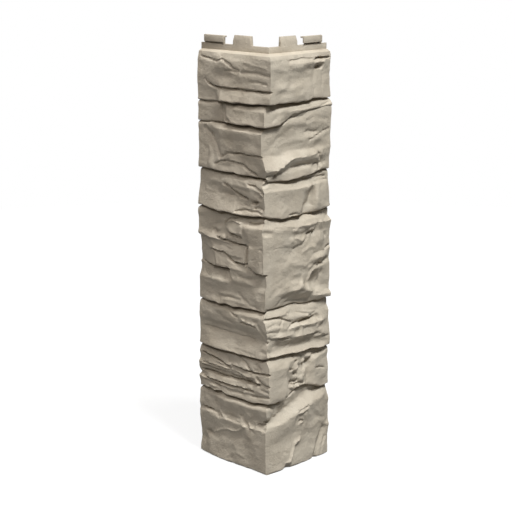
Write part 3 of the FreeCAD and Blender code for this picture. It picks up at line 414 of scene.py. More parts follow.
addCourse("right", (3, 2.5), {
    -2: [(299, 7.4), (304, 8.4), (309, 9.8), (322, 5.6), (330, 5.4)],
    12: [(298, 8), (303, 9.6), (308, 15), (322, 7), (330, 7), (350, 8)],
    20: [(297, 9.4), (302, 9.6), (305, 8.8), (310.4, 15.3), (322, 7.2), (340, 7.6), (350, 8.6), (362, 9.8)],
    27: [(297, 11.4), (303.6, 10.4), (306, 8.8), (314.6, 15.4), (324, 7.6), (340, 8.2), (350, 10),
        (362, 10.4)],
    34: [(297, 13), (305, 11.2), (308, 8.8), (316.8, 15.5), (325, 8.2), (334, 9.2), (340, 8.8), (352, 11.4),
        (358, 9.8), (364, 10.8)],
    66: [(298, 12.4), (306, 11.4), (309, 8.8), (317, 15), (325, 9.4), (336, 11.6), (341, 9.6), (350, 12.2),
        (364, 10.4)],
    91: [(313, 7.8), (323, 9.8), (335, 8.8), (341, 9.8), (363, 10.2)],
}, [
    crack([(4, 326), (14, 336), (34, 347)], 0.5, 4), crack([(-6, 336), (6, 345), (16, 350)], 0.3, 4),
    split([(54, 340.4), (58, 342.8), (64, 342.4), (72, 340.6)], 0.9, 0.8, 2.2),
    split([(58, 333), (66, 335.6), (72, 337), (80, 340.4), (90, 342.4)], 1.2, 0.8, 2.2),
    crack([(20, 331), (30, 334.4), (40, 335.6), (50, 334)], -0.4, 2),
    crack([(28, 328.6), (40, 331), (50, 330.4)], 0.3, 2.2),
    split([(26, 355), (36, 358), (48, 358), (60, 363.4), (76, 366.2)], 0.7, 1.2, 3.6, 5),
    hollow(36, 358.4, 7, 2.4, 0.9),
    split([(10, 300), (16, 304.6), (23, 311), (30, 315.6), (36, 316.8), (50, 317), (68, 317.6), (76, 318)],
        1.4, 0.8, 3.4), crack([(72, 319), (77, 312), (74, 304)], 1.6, 3), crack([(80, 318), (84, 308)], 1),
    hollow(67, 305, 5, 3, 1.6), hollow(74, 311, 3, 3, -1.4), hollow(79, 304, 4, 3, -1.1),
    crack([(62, 305), (70, 309), (78, 308)], 0.9, 2), hollow(52, 311, 14, 3.6, 0.9),
    crack([(34, 309), (52, 311), (62, 308)], 0.8),
    crack([(-8, 301), (2, 302.4), (10, 305), (14, 303)], 1.5, 2.6), hollow(46, 346, 12, 5, 0.8),
    hollow(74, 328, 8, 5, 0.9), hollow(68, 350, 10, 5, 0.7),
    crack([(56, 352), (66, 355), (84, 352)], 0.6, 3),
])
addCourse("right", (4.5, 2.5), {
    -2: [(262, 7.2), (288, 6.4), (296, 5.8)],
    20: [(260, 12.2), (288, 11.2), (294, 7.4), (296, 7.6)],
    44: [(260, 13.2), (287.4, 12.8), (294, 7.6)],
    49: [(260, 9.4), (266, 12.4), (287.4, 13), (294, 7.8), (296, 7.6)],
    57: [(260, 6), (270, 6.6), (280, 11), (284, 12.8), (287.4, 13), (294, 7.8), (297, 7.6)],
    64: [(261, 9.6), (272, 8), (282, 7.4), (288, 11.2), (293, 7.8), (298, 7.4)],
    68: [(261, 12.4), (278, 13.2), (290, 12.6), (293, 8.8), (299, 7.6)],
    91: [(264, 8.8), (276, 8.6), (285, 7.8), (291, 6.3), (299, 6.2)],
}, [
    flake([(67, 290), (88, 290.6), (90, 262), (62, 262), (66, 277)], 1.2, 2.2),
    crack([(69, 289), (66, 281), (62, 270)], 1.6, 5),
    crack([(54, 296), (66, 295.4), (86, 294.2)], 1.5, 1.5),
    split([(64, 290.4), (76, 291), (90, 290.6)], 1, 1, 2), hollow(54, 267, 7, 7, 1.2),
    split([(-10, 292), (-2, 293), (6, 296)], 2.4, 1.4), crack([(75, 288), (76, 270)], 0.4, 3),
    ledge([(-8, 288), (46, 288), (66, 289.6)], 0.7, 2.4, 8), hollow(24, 274, 18, 9, 0.5),
    hollow(36, 262, 6, 2.6, 0.8), crack([(30, 261.6), (38, 262.6), (44, 261)], 0.9, 1.6),
])
addCourse("right", (3.5, 2), {
    -2: [(170, 7.2), (176, 8.4), (206, 8.2), (249, 8.4), (254, 6.6), (259, 6.2)],
    20: [(171, 8.4), (175, 9.4), (184, 11.8), (228, 11.2), (231, 11.8), (250, 12.8), (257, 8)],
    40: [(171, 6.4), (174, 6.8), (185, 15.2), (196, 12.4), (210, 12.8), (226, 11), (233, 12.8), (240, 11.6),
        (249, 14), (257, 8.2)],
    58: [(170, 6.8), (173, 7.4), (181, 15.2), (190, 11.2), (203, 11.8), (214, 13.6), (228, 12.6),
        (239, 10.4), (249, 14), (257, 8)],
    75: [(169, 9.2), (174, 13.8), (182, 7.8), (198, 9.4), (204, 12.2), (207.4, 9.8), (213, 14), (222, 11.8),
        (231, 13), (241, 10.2), (249, 13.8), (257, 7.6)],
    91: [(168, 11.4), (173, 12.4), (177, 9), (190, 9.6), (205, 10), (210, 8.5), (221, 10.3), (231, 9),
        (242, 10), (249, 11.9), (254, 5.8), (258, 6.2)],
}, [
    split([(14, 172), (20, 177), (28, 182), (36, 184), (44, 184.6), (54, 181), (66, 178), (80, 174)],
        0.8, 1.2, 6, 5), crack([(38, 184.6), (43, 186.6), (48, 190), (50, 196)], -0.8, 4),
    hollow(69, 188, 11, 11.5, 3.8, -15), crack([(59, 185), (60, 192), (63.4, 196.6), (69, 198)], 1.8, 3),
    crack([(57, 181), (57, 192), (62, 200), (70, 203)], -1.3, 3), hollow(72, 184, 8, 5, -0.6),
    hollow(78, 196, 3, 5, 1.4), crack([(74, 201), (76, 194), (74, 188)], -0.9),
    split([(70, 204), (76, 207), (82, 205.4)], 2, 0.9, 2.2), hollow(64, 212, 10, 4, -1, 20),
    hollow(78, 213, 6, 4, -1), hollow(85, 209, 5, 3, 1.6),
    crack([(58, 204), (66, 209), (72, 214)], -0.9, 3),
    split([(56, 239.6), (62, 242.4), (68, 240.6)], 2.6, 1.4, 2.6),
    split([(36, 227.6), (44, 229.8), (50, 230.6), (56, 235.6)], 1, 1.2),
    crack([(40, 237.6), (48, 234), (52, 236)], -1.3, 2.6), hollow(38, 246, 6, 3, -1.2),
    hollow(48, 246, 6, 3, 0.5), crack([(40, 242), (50, 240), (56, 244), (64, 246)], 0.6),
    hollow(56, 248, 5, 3, -1), hollow(60, 244, 4, 2.5, -1),
    crack([(70, 248), (68, 242), (65, 238)], 1.7, 2.8),
    flake([(76, 250), (72, 240), (70, 228), (78, 226), (84, 240)], 0.9), hollow(72, 237, 3.5, 7, -1, 10),
    hollow(64, 232, 5, 7, 1), crack([(78, 248), (80, 240), (84, 234)], 1.1, 2.6),
    split([(82, 219), (86, 222), (92, 223)], 2.2, 1.2, 2.4), crack([(66, 218), (74, 219.6), (84, 218)], 1),
    crack([(6, 230.6), (24, 230), (38, 227)], 0.4, 2), hollow(2, 247, 10, 4, 1.6, -10),
    split([(10, 251), (24, 250.4), (36, 248), (44, 246.4)], 0.6, 1, 3, 4), hollow(34, 236, 4, 5, -0.8),
    hollow(42, 196, 12, 5, 1), hollow(32, 204, 12, 7, 0.6),
    crack([(30, 214), (46, 210), (58, 206)], -0.6, 4), hollow(12, 200, 12, 12, 0.5),
    crack([(50, 222), (60, 226), (66, 224)], -0.7, 3), hollow(48, 188, 5, 6, -1),
    crack([(8, 183), (16, 190), (14, 198)], 0.5, 4), crack([(20, 180), (34, 178), (52, 175)], 0.5, 3),
    crack([(28, 174), (50, 172.6)], 0.5, 2), hollow(30, 222, 8, 5, 0.5),
    ledge([(46, 254.6), (60, 255.6), (88, 255)], 1.2, 3, 5, 4),
])
addCourse("right", (5, 2.5), {
    -2: [(121, 13), (126, 10.8), (134, 11.2), (140, 9.2), (147, 11.4), (160, 8.6), (166, 6.8)],
    16: [(120, 13), (126, 8), (134, 8.2), (138, 9.6), (140.2, 14), (147, 12), (150, 13.6), (157, 11),
        (160, 8.8), (161, 11), (168, 7)],
    40: [(120, 13.4), (126, 7.4), (131, 8), (134, 9.6), (135.6, 14.2), (143, 12.6), (147.4, 14.2),
        (150.6, 9.8), (156.4, 11.8), (162, 10), (168, 6.8)],
    62: [(120, 13.4), (126, 7.6), (131, 8.4), (135, 10), (136.6, 15), (143, 12.6), (146.4, 14.6),
        (150.4, 8.4), (155.4, 12.8), (162, 10), (168, 6.8)],
    80: [(119, 13), (124, 9), (129, 9.6), (131.4, 13.2), (140, 10.4), (147, 13.2), (152, 10.4), (160, 8),
        (168, 6.6)],
    91: [(119, 10.7), (127, 11.5), (137, 10.2), (146, 9), (155, 9), (161, 5.8), (167, 6)],
}, [
    split([(-12, 160), (0, 160.4), (16, 160.4), (22, 158.4), (28, 155.6), (36, 153)], 1.9, 1, 2.6),
    crack([(30, 162), (42, 160.6), (54, 158), (62, 156.6)], 1.1, 1.8),
    crack([(23, 157), (19, 152), (18, 146)], 1.3, 1.8),
    split([(28, 146.6), (36, 150), (44, 152), (54, 153.4), (70, 157)], 1.9, 1.1, 2.6),
    split([(46, 149.4), (58, 151.2), (70, 153)], 3.2, 1.4, 2),
    crack([(50, 147.6), (60, 148.4), (70, 148.6)], -1), crack([(2, 152), (10, 154), (20, 152)], 0.7, 1.8),
    crack([(-8, 147), (4, 147), (16, 145)], 1, 1.6),
    split([(-12, 141.6), (0, 141.4), (12, 139.6), (24, 138), (36, 136), (47, 135)], 1.6, 0.8, 2),
    split([(54, 134), (62, 136.2), (70, 136), (80, 131.6), (90, 128.4)], 1, 0.8, 2.4),
    hollow(42, 141, 4, 4, 1.2), hollow(48, 143, 3, 3, -0.9),
    crack([(46, 149), (47, 144), (44, 138)], 1.1, 2), crack([(70, 156), (74, 150), (72, 144)], 1.1),
    hollow(78, 150, 5, 6, -0.8), crack([(76, 140), (82, 144)], 0.8),
    crack([(20, 130), (28, 128), (34, 130)], 0.9), hollow(14, 131, 8, 3, 0.7),
    crack([(2, 128), (6, 124), (4, 121)], 0.8), split([(-10, 136.4), (-2, 135.4), (2, 134)], 1.6, 1, 3, 2),
    crack([(36, 163.6), (56, 162), (74, 158)], 0.6, 2), crack([(10, 142.6), (20, 145), (34, 144)], 0.6),
])
addCourse("right", (6, 2.5), {
    2: [(75, 14.4), (108, 13.6), (112, 12.8), (118, 9.4)],
    27: [(76, 13.6), (90, 13.2), (108, 12.6), (118, 8.2)],
    34: [(79, 8.8), (90, 7.8), (104, 10.4), (112, 11.6), (118, 8)],
    40: [(80, 9.4), (86, 10.8), (90, 8.4), (98, 10.4), (104, 13), (112, 11.6), (118, 8)],
    52: [(83, 12), (94, 12.4), (104, 8.8), (112, 8), (118, 8.4)],
    60: [(84, 9.4), (98, 9.2), (108, 8.6), (112, 11), (118, 8)],
    68: [(82, 12.4), (110, 12.8), (115, 8.4), (118, 8)],
    91: [(93, 8.9), (105, 7.6), (112, 8.5)],
}, [
    hollow(42, 110, 2.6, 2.4, 2.2), hollow(34, 102.6, 4, 1.8, 1.6),
    crack([(30, 105), (36, 103), (39, 99)], 0.9, 2), hollow(39.5, 98, 2.4, 2.4, 2.6),
    hollow(41, 94, 3, 3.2, -2), crack([(36, 101), (42, 103), (46, 108)], -1.2, 2.6),
    crack([(28, 77), (32, 84), (36, 90)], 2.4, 3), crack([(36, 90), (44, 90)], 1.6, 1.8),
    crack([(36, 87), (42, 86), (47, 88), (52, 86)], 2, 2), hollow(37, 84.6, 3.4, 2.2, -1.8),
    hollow(44.5, 84.4, 2.4, 1.8, -1.4), hollow(47.5, 91, 3.6, 4.4, -1.7), hollow(52, 97, 3, 5, -1.4),
    crack([(44, 96), (47, 102), (45, 107)], 1.4, 2.2),
    crack([(50, 104), (53, 98), (56, 92), (54, 87)], 1.4, 2.6), hollow(54, 108, 3, 3.4, -1.6),
    split([(52, 106), (56, 107.6), (60, 108), (66, 112.6), (76, 114), (88, 115)], 2.4, 1, 4.2),
    flake([(67, 113), (54, 107), (54, 99), (60, 102)], -2.6, 2.4, 0.12),
    crack([(62, 104), (60, 96), (58, 86)], 1.2, 3), crack([(70, 98.6), (78, 97), (84, 95.4)], 1.4, 1.5),
    flake([(2, 113), (30, 113), (34, 104), (36, 92), (30, 82), (22, 76), (2, 77)], 0.9),
    hollow(18, 96, 14, 12, 0.5), hollow(20, 110, 10, 3, 0.5),
    crack([(38, 118), (40, 112), (37, 106)], 0.8, 2), crack([(50, 117), (54, 112), (58, 110)], 0.8),
    crack([(28, 102), (31, 94), (29, 86)], 0.4, 3),
])
addCourse("right", (5, 4), {
    -2: [(0, 11.4), (46, 11.2), (50, 9.6), (54, 6.4), (58, 8.6), (68, 8.6), (73, 7)],
    14: [(0, 11.2), (1.8, 13.6), (30, 12.4), (49.6, 14.2), (53, 9.4), (58, 7.4), (66, 10.4), (72, 11.4)],
    22: [(0, 11.6), (1.8, 14), (34, 12.2), (51.4, 14.8), (60, 6.4), (72, 10.2)],
    31: [(0, 11.8), (1.8, 14.2), (35, 11.8), (53.8, 15.2), (63, 6), (74, 9.8)],
    40: [(0, 12), (1.8, 14.4), (36, 11.4), (56.4, 15.4), (66.4, 5.8), (77, 9.2)],
    50: [(0, 11.4), (1.8, 13.8), (35, 11.2), (59.4, 15.4), (70.4, 5.8), (82, 8.4)],
    60: [(0, 10.8), (1.8, 13.2), (34, 11.2), (62.4, 15.2), (74, 5.8), (80, 7.4)],
    70: [(0, 9.6), (1.8, 12), (34, 11.2), (65.2, 14.8), (75.4, 5.8), (79, 6.4)],
    80: [(0, 8.4), (1.8, 10.8), (34, 11.4), (68, 13.6), (76, 5.8), (78, 6)],
    91: [(0, 7.4), (1.8, 9.8), (21, 9), (28, 10.5), (33, 11.5), (38, 9.8), (48, 9.8), (55, 9), (61, 10.2),
        (67, 8), (72, 5.8)],
}, [
    flake([(-14, 71), (4, 71), (8, 66), (6, 57), (-14, 57)], 2.6, 2.6, 0.04),
    split([(-12, 57), (0, 56.2), (6, 56)], 2.2, 1.2, 2.6, 2),
    split([(42, 56.6), (48, 59), (54, 60.2), (58, 61.4)], 1.4, 1, 1.8, 2), hollow(51, 57, 5.5, 2, -0.8, 12),
    crack([(42, 55), (46, 53), (54, 56)], 1.2, 2), hollow(44, 50, 8, 7, 1.6, 30),
    split([(44, 45.4), (48, 47.2), (52, 46.4)], 1.8, 1, 2, 2), hollow(48, 44.6, 3, 1.5, -0.9),
    crack([(50, 52), (54, 46), (52, 42)], 0.9), crack([(46, 28), (38, 24.6), (35, 16), (31, 8)], -1.9, 2.8),
    flake([(47, 26), (38, 22), (34, 12), (32, -3), (72, -3), (66, 20)], -0.9, 5),
    flake([(21, -2), (25, 5), (29, 6.6), (34, -2)], -2.6, 2.4), hollow(28, 8, 3.4, 2, -1.2),
    crack([(84, 30), (78, 18), (73, 6), (71, -1)], 3.2, 5.5), crack([(86, 20), (80, 8), (78, 0)], 1),
    crack([(88, 30), (84, 14)], 0.6, 2), hollow(20, 30, 16, 12, 0.6), hollow(66, 44, 12, 9, 0.7, 20),
    crack([(58, 61), (66, 52), (72, 46), (84, 42)], 0.7, 4), hollow(26, 72, 14, 4, 1),
    crack([(8, 68), (18, 66), (30, 70)], 0.7, 3), hollow(60, 26, 12, 10, 0.5),
    crack([(22, 19), (28, 17)], 0.6, 2), crack([(88, 36), (80, 34), (76, 38)], 0.7, 3),
    hollow(14, 61, 6, 3, -0.6),
])

# How the drawn courses are worn. A span is the distance along and up between the knots of a random
# surface. A start says how much there is at the corner, where it begins to grow and over what length.
wear = {
    "bend": 0.6,
    "bendSpan": (9.0, 7.0),
    "climbShare": 0.8,
    "climbSpan": (8.0, 6.0),
    "bendStart": (0.3, 4.0, 12.0),
    "unevenness": 0.55,
    "unevenStart": (0.35, 6.0, 14.0),
    "broadSpan": (14.0, 9.0),
    "broadStep": (3, 7),
    "middleShare": 0.4,
    "middleSpan": (6.5, 4.4),
    "middleShift": (30, 10),
    "fineShare": 0.14,
    "fineSpan": (2.6, 2.1),
    "waveSpan": 7.0,
    "waveShift": 40.0,
    "waveStep": 3.0,
    "waveStart": 10.0,
    "slotCurve": 0.7,
    "slotShare": 0.7,
    "bevelCurve": 1.7,
    "bevelShare": 0.3,
    "lowerCurve": 4.0,
}
courseLevels = [415.0, 371.5, 350.0, 301.0, 262.0, 167.5, 119.0, 73.0, 0.0]
courseCount = len(courseLevels) - 1
wander = {"left": roughness(21), "right": roughness(22)}
drift = {"left": roughness(31), "right": roughness(32)}
broad = {"left": roughness(3), "right": roughness(8)}
fine = {"left": roughness(41), "right": roughness(42)}


def jointUp(leg, number, along):
    # Where a joint lies: 0 is the top of the stone and the last one its base
    if number in (0, courseCount):
        return np.full(np.shape(along), courseLevels[number])
    line = np.full(np.shape(along), wear["waveStep"] * number)
    wave = stone["jointWave"] * wander[leg](along / wear["waveSpan"] + wear["waveShift"], line)
    wave = wave * ease(along / wear["waveStart"])
    return lineHeight(joints[leg][number - 1], along) + wave - stone["jointDrop"]


def jointDepth(leg, number, along):
    # A few joints die away towards the end of the leg
    fading = stone["fadingJoints"].get((leg, number))
    return lineHeight(fading, along) if fading else np.ones(np.shape(along))


def sectionHeight(leg, course, along, up):
    sections = courses[leg][course]["sections"]
    places = list(sections)
    heights = [lineHeight(points, up) for points in sections.values()]
    height = heights[0]
    for k in range(len(places) - 1):
        share = np.clip((along - places[k]) / (places[k + 1] - places[k]), 0.0, 1.0)
        height = height + share * (heights[k + 1] - heights[k])
    return height


def grown(start, along):
    least, place, length = start
    return least + (1.0 - least) * ease((along - place) / length)


def spread(surface, along, up, span, shift=(0, 0)):
    return surface(along / span[0] + shift[0], up / span[1] + shift[1])


def courseHeight(leg, course, along, up):
    # Height of one course above the wall plane
    shape = courses[leg][course]
    top, bottom = jointUp(leg, course, along), jointUp(leg, course + 1, along)
    bend = wear["bend"] * grown(wear["bendStart"], along)
    bentAlong = along + bend * spread(wander[leg], along, up, wear["bendSpan"])
    bentUp = up + wear["climbShare"] * bend * spread(drift[leg], along, up, wear["climbSpan"])
    height = sectionHeight(leg, course, bentAlong, bentUp)
    for mark in shape["marks"]:
        height = height + stone["markDepth"][leg] * mark(bentAlong, bentUp)
    amount = wear["unevenness"] * grown(wear["unevenStart"], along)
    shift = [step * course for step in wear["broadStep"]]
    height = height + amount * spread(broad[leg], along, up, wear["broadSpan"], shift)
    middle = spread(drift[leg], along, up, wear["middleSpan"], wear["middleShift"])
    height = height + wear["middleShare"] * amount * middle
    height = height + wear["fineShare"] * amount * spread(fine[leg], along, up, wear["fineSpan"])
    height = np.minimum(height, stone["highest"][leg])
    upper, lower = shape["rounding"]
    share = np.ones(np.shape(along))
    if course > 0:
        slot = np.clip((top - up) / stone["jointWidth"], 0.0, 1.0) ** wear["slotCurve"]
        bevel = 1.0 - (1.0 - np.clip((top - up) / upper, 0.0, 1.0)) ** wear["bevelCurve"]
        sunk = 1.0 - wear["slotShare"] * slot - wear["bevelShare"] * bevel
        share = share * (1.0 - jointDepth(leg, course, along) * sunk)
    if course < courseCount - 1:
        edge = (1.0 - np.clip((up - bottom) / lower, 0.0, 1.0)) ** wear["lowerCurve"]
        share = share * (1.0 - jointDepth(leg, course + 1, along) * edge)
    return stone["jointFloor"] + np.maximum(height - stone["jointFloor"], stone["leastHeight"]) * share


def frontHeight(leg, place, up):
    # Height of the whole front, the ledge under the flange too, at places from the wall corner
    along = place + stone["depth"]
    low = np.minimum(up, stone["faceTop"])
    height = np.zeros(np.shape(up))
    for course in range(courseCount):
        here = np.ones(np.shape(up), bool)
        if course < courseCount - 1:
            here &= low >= jointUp(leg, course + 1, along)
        if course > 0:
            here &= low < jointUp(leg, course, along)
        height[here] = courseHeight(leg, course, along[here], low[here])
    share = np.clip((up - stone["faceTop"]) / (stone["top"] - stone["faceTop"]), 0.0, 1.0)
    return height + (stone["ledgeFront"] - height) * share ** stone["ledgeCurve"]


def backHeight(leg, place, up, rings=(0.0, 0.55, 0.9), turns=8, turnAngle=0.25 * math.pi):
    # The back follows the front at the thickness of the wall, measured on rings of places around
    wall = stone["wall"]
    lowest = np.full(np.shape(up), farAway)
    for ring in rings:
        rise = wall * math.sqrt(1.0 - ring * ring)
        for turn in range(turns if ring else 1):
            angle = turnAngle * turn
            beside = place + ring * wall * math.cos(angle)
            level = np.clip(up + ring * wall * math.sin(angle), 0.0, stone["top"])
            lowest = np.minimum(lowest, frontHeight(leg, beside, level) - rise)
    return np.maximum(lowest, stone["backLeast"])


def rowList(spacing, closeGaps):
    # Rows from the base up, crowded beside the joints: course, gap from the joint, share of the rest
    rows = []
    for course in reversed(range(courseCount)):
        clear = courseLevels[course] - courseLevels[course + 1] - 2.0 * closeGaps[-1]
        count = max(2, round(clear / spacing))
        rows += [(course, gap, 0.0) for gap in [0.0] + closeGaps]
        rows += [(course, closeGaps[-1], k / count) for k in range(1, count)]
        rows += [(course, gap, 1.0) for gap in reversed(closeGaps)]
    return rows + [(0, 0.0, 1.0)]


def rowUp(leg, row, along):
    course, gap, share = row
    low, high = jointUp(leg, course + 1, along), jointUp(leg, course, along)
    gap = gap * np.minimum(1.0, (high - low) / (courseLevels[course] - courseLevels[course + 1]))
    return low + gap + (high - low - 2.0 * gap) * share


def skinPoints(rows, ledgeShares, spacing, height, cornerRounds=5):
    # Places of one side of the skin: rows from the base up, columns from the left end to the right end
    rise = stone["top"] - stone["faceTop"]

    def upAt(leg, along):
        ups = [rowUp(leg, row, along[k]) for k, row in enumerate(rows)]
        ups += [np.full(along.shape[1], stone["faceTop"] + share * rise) for share in ledgeShares]
        return np.array(ups)

    rowCount = len(rows) + len(ledgeShares)
    corner = {leg: np.full((rowCount, 1), stone["depth"]) for leg in legLength}
    for attempt in range(cornerRounds):
        place = {"left": -corner["right"], "right": -corner["left"]}
        for leg in legLength:
            corner[leg] = height(leg, place[leg], upAt(leg, place[leg] + stone["depth"]))
    cornerUp = 0.5 * sum(upAt(leg, place[leg] + stone["depth"]) for leg in legLength)
    halves = {}
    for leg, start in (("left", -corner["right"]), ("right", -corner["left"])):
        count = round((legLength[leg] + stone["depth"]) / spacing)
        share = np.arange(1, count + 1) / count
        place = start + (legLength[leg] - start) * share
        up = upAt(leg, place + stone["depth"])
        halves[leg] = (place, height(leg, place, up), up)
    place, out, up = halves["left"]
    left = np.stack([-out, place, up], -1)[:, ::-1]
    middle = np.stack([-corner["left"], -corner["right"], cornerUp], -1)
    place, out, up = halves["right"]
    right = np.stack([place, -out, up], -1)
    return np.concatenate([left, middle, right], 1)


def addSheet(mesh, points):
    # A grid of the right number of rows and columns, each vertex moved to its place
    rowCount, columnCount = points.shape[:2]
    made = bmesh.ops.create_grid(mesh, x_segments=columnCount - 1, y_segments=rowCount - 1, size=1.0)
    verts = sorted(made["verts"], key=lambda vert: (round(vert.co.y, 6), round(vert.co.x, 6)))
    for vert, place in zip(verts, points.reshape(-1, 3)):
        vert.co = Vector(place) * millimetre
    rows = [verts[k * columnCount:(k + 1) * columnCount] for k in range(rowCount)]
    return [rows[0], rows[-1], [row[0] for row in rows], [row[-1] for row in rows]]


def chainEdges(verts):
    edges = []
    for first, second in zip(verts, verts[1:]):
        edges += [edge for edge in first.link_edges if edge.other_vert(first) is second]
    return edges


def finishedObject(name, mesh, creaseAngle=None):
    if creaseAngle:
        for face in mesh.faces:
            face.smooth = True
    data = bpy.data.meshes.new(name)
    mesh.to_mesh(data)
    mesh.free()
    if creaseAngle:
        data.set_sharp_from_angle(angle=math.radians(creaseAngle))
    piece = bpy.data.objects.new(name, data)
    bpy.context.scene.collection.objects.link(piece)
    return piece


frontRows = rowList(stone["rowSpacing"], stone["rowsByJoint"])
backRows = rowList(stone["backSpacing"], stone["backRowsByJoint"])
front = skinPoints(frontRows, stone["ledgeRows"], stone["columnSpacing"], frontHeight)
back = skinPoints(backRows, stone["backLedgeRows"], stone["backSpacing"], backHeight)
print("stone surface", front.shape[:2], "back", back.shape[:2])

skin = bmesh.new()
frontRims = addSheet(skin, front)
backRims = addSheet(skin, back)
for frontRim, backRim in zip(frontRims, backRims):
    bmesh.ops.bridge_loops(skin, edges=chainEdges(frontRim) + chainEdges(backRim))
bmesh.ops.triangulate(skin, faces=[face for face in skin.faces if len(face.verts) > 4])
bmesh.ops.recalc_face_normals(skin, faces=skin.faces)
skinPiece = finishedObject("stoneSkin", skin, stone["creaseAngle"])
print("stone skin made", len(skinPiece.data.polygons), "faces")


# The nailing flange above the stone, with two tongues and two hooked tabs on it
flange = {
    "left": 92.5,
    "right": 80.0,
    "thickness": 3.0,
    "rise": 6.0,
    "lap": 3.5,
    "endBevel": 2.4,
    "endBevelDepth": 1.4,
    "edgeRounding": 0.22,
    "roundedFrom": 0.4,
    "flatAngle": 1.0,
    "mergeGap": 0.01,
    "creaseAngle": 35.0,
}
tongues = {
    "left": (20.5, 26.0),
    "right": (13.0, 24.0),
    "height": 9.3,
    "straight": 4.0,
    "tip": 1.4,
    "slant": 1.0,
}
hooks = {
    "left": (57.5, 28.0),
    "right": (44.0, 26.5),
    "notch": {"left": 2.0, "right": 4.5},
    "height": 8.0,
    "wall": 1.6,
    "reach": 4.6,
    "slot": 1.6,
    "webFoot": 2.4,
}
flangeTop = stone["top"] + flange["rise"]
flangeMiddle = stone["top"] + 0.5 * flange["rise"]


def onLeg(leg, along, out, up):
    place = (-out, along, up) if leg == "left" else (along, -out, up)
    return Vector(place) * millimetre


def block(outline, direction):
    # A closed outline pushed along a direction
    mesh = bmesh.new()
    face = mesh.faces.new([mesh.verts.new(place) for place in outline])
    pushed = bmesh.ops.extrude_face_region(mesh, geom=[face])["geom"]
    moved = [item for item in pushed if isinstance(item, bmesh.types.BMVert)]
    bmesh.ops.translate(mesh, verts=moved, vec=direction)
    bmesh.ops.recalc_face_normals(mesh, faces=mesh.faces)
    return mesh


def legBlock(leg, start, width, section):
    # A section of (out, up) points pushed along a leg
    return block([onLeg(leg, start, out, up) for out, up in section], onLeg(leg, width, 0.0, 0.0))


def flangeStrip():
    thick, bevel = flange["thickness"], flange["endBevel"]
    thin = thick - flange["endBevelDepth"]
    left, right, low = flange["left"], flange["right"], stone["top"] - flange["lap"]
    outline = [
        (0.0, 0.0), (0.0, left), (-thin, left), (-thick, left - bevel),
        (-thick, -thick), (right - bevel, -thick), (right, -thin), (right, 0.0),
    ]
    places = [Vector((x, y, low)) * millimetre for x, y in outline]
    return block(places, Vector((0.0, 0.0, flange["lap"] + flange["rise"])) * millimetre)


def tongueBlock(leg):
    start, width = tongues[leg]
    thick, height = flange["thickness"], tongues["height"]
    top, straight = flangeTop + height, flangeTop + tongues["straight"]
    section = [(0.0, flangeMiddle), (thick, flangeMiddle), (thick, straight), (tongues["tip"], top)]
    section += [(0.0, top)]
    mesh = legBlock(leg, start, width, section)
    foot, sideways = onLeg(leg, start, 0.0, 0.0), onLeg(leg, 1.0, 0.0, 0.0)
    for vert in mesh.verts:
        lean = tongues["slant"] * max(0.0, vert.co.z / millimetre - flangeTop) / height
        far = (vert.co - foot).dot(sideways) > 0.5 * width * millimetre ** 2
        vert.co += onLeg(leg, -lean if far else lean, 0.0, 0.0)
    return mesh


def hookBlocks(leg):
    start, width = hooks[leg]
    wall, reach, notch = hooks["wall"], hooks["reach"], hooks["notch"][leg]
    top = flangeTop + hooks["height"]
    slotTop, roof = flangeTop + hooks["slot"], top - wall
    inside = reach - wall
    lip = [(0.0, roof), (0.0, top), (reach, top), (reach, slotTop), (inside, slotTop), (inside, roof)]
    web = [(0.0, flangeMiddle), (0.0, top), (wall, top), (wall, flangeMiddle)]
    lipBlock = legBlock(leg, start, width, lip)
    return [lipBlock, legBlock(leg, start + notch, width - notch + hooks["webFoot"], web)]


def joined(name, meshes):
    # One closed mesh from solids that overlap
    objects = [finishedObject(name if k == 0 else name + str(k), mesh) for k, mesh in enumerate(meshes)]
    base = objects[0]
    for other in objects[1:]:
        union = base.modifiers.new("union", "BOOLEAN")
        union.operation = "UNION"
        union.solver = "EXACT"
        union.object = other
    data = bpy.data.meshes.new_from_object(base.evaluated_get(bpy.context.evaluated_depsgraph_get()))
    for item in objects:
        old = item.data
        bpy.data.objects.remove(item)
        bpy.data.meshes.remove(old)
    mesh = bmesh.new()
    mesh.from_mesh(data)
    bpy.data.meshes.remove(data)
    return mesh


parts = [flangeStrip()]
for leg in legLength:
    parts += [tongueBlock(leg)] + hookBlocks(leg)
strip = joined("strip", parts)
flatAngle = math.radians(flange["flatAngle"])
bmesh.ops.dissolve_limit(strip, angle_limit=flatAngle, verts=strip.verts, edges=strip.edges)
bmesh.ops.remove_doubles(strip, verts=strip.verts, dist=flange["mergeGap"] * millimetre)
outer = [edge for edge in strip.edges if edge.is_manifold and edge.is_convex]
outer = [edge for edge in outer if edge.calc_face_angle() > flange["roundedFrom"]]
bmesh.ops.bevel(
    strip, geom=outer, offset=flange["edgeRounding"] * millimetre, offset_type="OFFSET",
    affect="EDGES", segments=2, profile=0.5, material=-1, clamp_overlap=True,
)
flangePiece = finishedObject("nailingFlange", strip, flange["creaseAngle"])
print("flange and tabs made", len(flangePiece.data.polygons), "faces")


